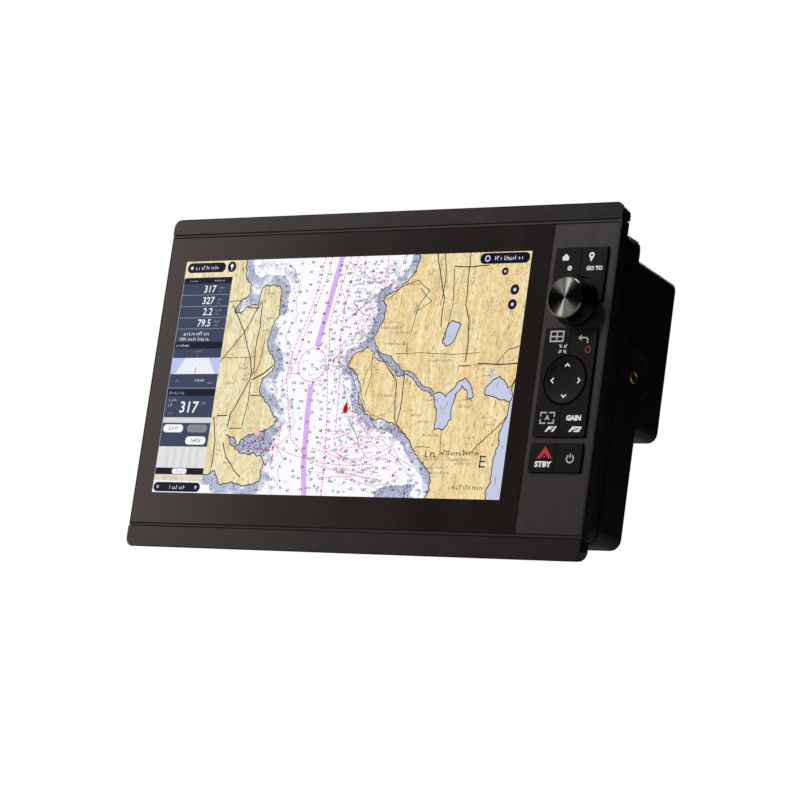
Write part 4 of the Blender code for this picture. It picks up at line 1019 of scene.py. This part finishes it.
def key_marks():
    # The legends' glow is painted light, brightening the ink beyond what the lamps give it.
    white = printed("legend_white", (0.72, 0.72, 0.70), 0.5, 0.5)
    soft_white = printed("legend_soft_white", (0.4, 0.39, 0.38), 0.5, 0.5)
    red = printed("legend_red", (0.42, 0.012, 0.018), 0.45, 0.4)
    dark_red = printed("ring_red", (0.12, 0.002, 0.004), 0.45, 0.35)

    home = key_print("home_key", white)
    home.shape([(101.5, 135.9), (99.4, 134.0), (103.6, 134.0)])
    home.shape([(99.9, 134.2), (103.1, 134.2), (103.1, 132.8), (99.9, 132.8)])
    home.stroke([(103.6, 128.6), (104.8, 130.0)], 0.3)
    home.ring(104.2, 129.3, 0.85, 0.55)
    home.make()

    goto = key_print("waypoint_key", white)
    goto.ring(114.9, 134.9, 0.98, 0.8)
    goto.shape([(113.7, 134.4), (116.1, 134.4), (114.9, 131.9)])
    goto.text("GO TO", 117.1, 128.2, 2.55, 0.0, 0.045)
    goto.make()

    layout = key_print("layout_key", soft_white)
    layout.stroke([(99.0, 96.5), (105.6, 96.5), (105.6, 100.9), (99.0, 100.9)], 0.66, True)
    layout.stroke([(102.3, 96.5), (102.3, 100.9)], 0.62)
    layout.stroke([(99.0, 98.6), (105.6, 98.6)], 0.6)
    for side_x in (-1, 1):
        for side_z in (-1, 1):
            near = (106.1 + side_x * 0.6, 93.1 + side_z * 0.55)
            far = (106.1 + side_x * 2.0, 93.1 + side_z * 1.95)
            layout.stroke([near, far], 0.62)
            layout.shape([near, (near[0] + side_x * 1.35, near[1]), (near[0], near[1] + side_z * 1.35)])
    layout.make()

    back = key_print("back_key", soft_white)
    back.stroke([(114.6, 98.0), (117.6, 98.0), (118.5, 97.1), (118.5, 95.6)], 0.6)
    back.shape([(115.2, 99.3), (113.4, 98.0), (115.2, 96.7)])
    back.make()
    man = key_print("back_key", dark_red, "ring")
    man.ring(119.2, 92.6, 1.3, 0.75)
    man.make()

    centre = key_print("centre_key", soft_white)
    for side_x in (-1, 1):
        for side_z in (-1, 1):
            x, z = 102.7 + side_x * 3.5, 62.4 + side_z * 2.35
            centre.stroke([(x - side_x * 2.9, z), (x, z), (x, z - side_z * 1.8)], 0.6)
    centre.shape([(102.7, 63.9), (101.3, 61.3), (102.7, 61.9), (104.1, 61.3)])
    centre.make()
    first = key_print("centre_key", white, "word")
    first.text("F1", 104.9, 56.4, 3.1, 0.42, 0.05, 1.75)
    first.make()

    gain = key_print("gain_key", white)
    gain.text("GAIN", 116.4, 61.4, 3.05, 0.0, 0.055, 1.04)
    gain.text("F2", 117.3, 56.4, 3.1, 0.42, 0.05, 1.9)
    gain.make()

    pilot = key_print("autopilot_key", red)
    pilot.shape([(103.9, 49.9), (99.9, 44.5), (101.7, 44.3), (103.9, 46.8), (106.1, 44.3), (107.9, 44.5)])
    pilot.shape([(103.9, 46.0), (103.1, 44.9), (104.7, 44.9)])
    pilot.make()
    standby = key_print("autopilot_key", white, "word")
    standby.text("STBY", 103.5, 40.8, 3.3, 0.0, 0.05, 1.13)
    standby.make()

    power = key_print("power_key", soft_white)
    power.ring(117.2, 44.5, 1.75, 0.62, 125, 290)
    power.stroke([(117.2, 44.8), (117.2, 46.8)], 0.6)
    power.make()

    arrows = Print("cursor_pad_arrows", "cursor_pad", "pad", white, "keys")
    for x, z, turn in ((0, 6.8, 0), (-6.8, 0, 90), (0, -6.8, 180), (6.8, 0, 270)):
        a = math.radians(turn)
        placed = []
        for px, pz in ((-1.2, -0.55), (0, 0.6), (1.2, -0.55)):
            placed.append((109.6 + x + px * math.cos(a) - pz * math.sin(a),
                           79.0 + z + px * math.sin(a) + pz * math.cos(a)))
        arrows.stroke(placed, 0.6)
    arrows.make()


# ---- studio


def area_light(name, at, size, power, colour=(1, 1, 1), height=None):
    data = bpy.data.lights.new(name, "AREA")
    data.shape = "RECTANGLE"
    data.size = size
    data.size_y = height or size
    data.energy = power
    data.color = colour
    made = new_object(name, data)
    made.location = at
    made.rotation_mode = "QUATERNION"
    made.rotation_quaternion = (Vector(AIM) - Vector(at)).to_track_quat("-Z", "Y")
    return made


def spare(light, *names):
    """Keeps a light off some nodes, as a small flag before the lamp does."""
    spared = bpy.data.collections.new(f"{light.name}_spared")
    for name in names:
        spared.objects.link(NODES[name])
    for item in spared.collection_objects:
        item.light_linking.link_state = "EXCLUDE"
    light.light_linking.receiver_collection = spared


def studio():
    """A white surround seen by the camera, dim to the object, with soft lights from the upper left."""
    world = bpy.data.worlds.new("studio")
    SCENE.world = world
    world.use_nodes = True
    tree = world.node_tree
    tree.nodes.clear()
    seen = add_node(tree, "Background", {"Color": (1, 1, 1, 1)}).outputs[0]
    dim = add_node(tree, "Background", {"Color": DIM_SURROUND}).outputs[0]
    path = add_node(tree, "LightPath").outputs["Is Camera Ray"]
    choice = add_node(tree, "MixShader", {0: path, 1: dim, 2: seen}).outputs[0]
    add_node(tree, "OutputWorld", {0: choice})
    area_light("key", (-0.68, -1.08, 1.05), 0.2, 8)
    area_light("key_edge", (-1.0, -0.9, 0.9), 0.4, 2.5)
    wall = area_light("left_wall", (-2.1, -1.5, 0.45), 1.2, 12, (1.0, 0.84, 0.79), height=1.6)
    spare(wall, "knob_cap", "knob_body")
    area_light("top_strip", (0.1, -0.3, 1.6), 0.6, 3.5)
    area_light("rear", (-0.8, 1.5, 0.9), 0.9, 22)
    SCENE.view_settings.view_transform = "Standard"
    SCENE.view_settings.look = "None"


def floor():
    """A pale floor that fades into the white surround, clear when seen from below."""
    data = bpy.data.meshes.new("floor")
    far = FLOOR_HALF
    data.from_pydata([(-far, -far, 0), (far, -far, 0), (far, far, 0), (-far, far, 0)], [], [[0, 1, 2, 3]])
    made = new_object("floor", data)
    made.location.z = -FLOOR_DROP
    paper = Finish("floor", (0.9, 0.9, 0.9), 0.9)
    reach = paper.add("VectorMath", {0: paper.place}, operation="LENGTH").outputs["Value"]
    links = {"Value": reach, "From Min": FADE_START, "From Max": FADE_END, "To Min": 0.3, "To Max": 1.0}
    fade = paper.out("MapRange", links, interpolation_type="SMOOTHERSTEP")
    under = paper.add("NewGeometry").outputs["Backfacing"]
    clear = paper.out("BsdfTransparent")
    links = {0: paper.maths("MAXIMUM", under, fade), 1: paper.shader.outputs[0], 2: clear}
    choice = paper.out("MixShader", links)
    paper.tree.links.new(choice, paper.tree.nodes["Material Output"].inputs[0])
    data.materials.append(paper.mat)


def camera():
    data = bpy.data.cameras.new("camera")
    data.lens = CAMERA_LENS
    data.sensor_width = SENSOR
    data.clip_start, data.clip_end = CAMERA_CLIP
    made = new_object("camera", data)
    columns = (CAMERA_RIGHT, [-v for v in CAMERA_DOWN], [-v for v in CAMERA_AHEAD])
    turn = Matrix(columns).transposed().to_4x4()
    made.matrix_world = Matrix.Translation(CAMERA_AT) @ turn
    SCENE.camera = made


paint_nodes()
screen_picture()
painted_seam_shadows()
key_marks()
studio()
floor()
camera()
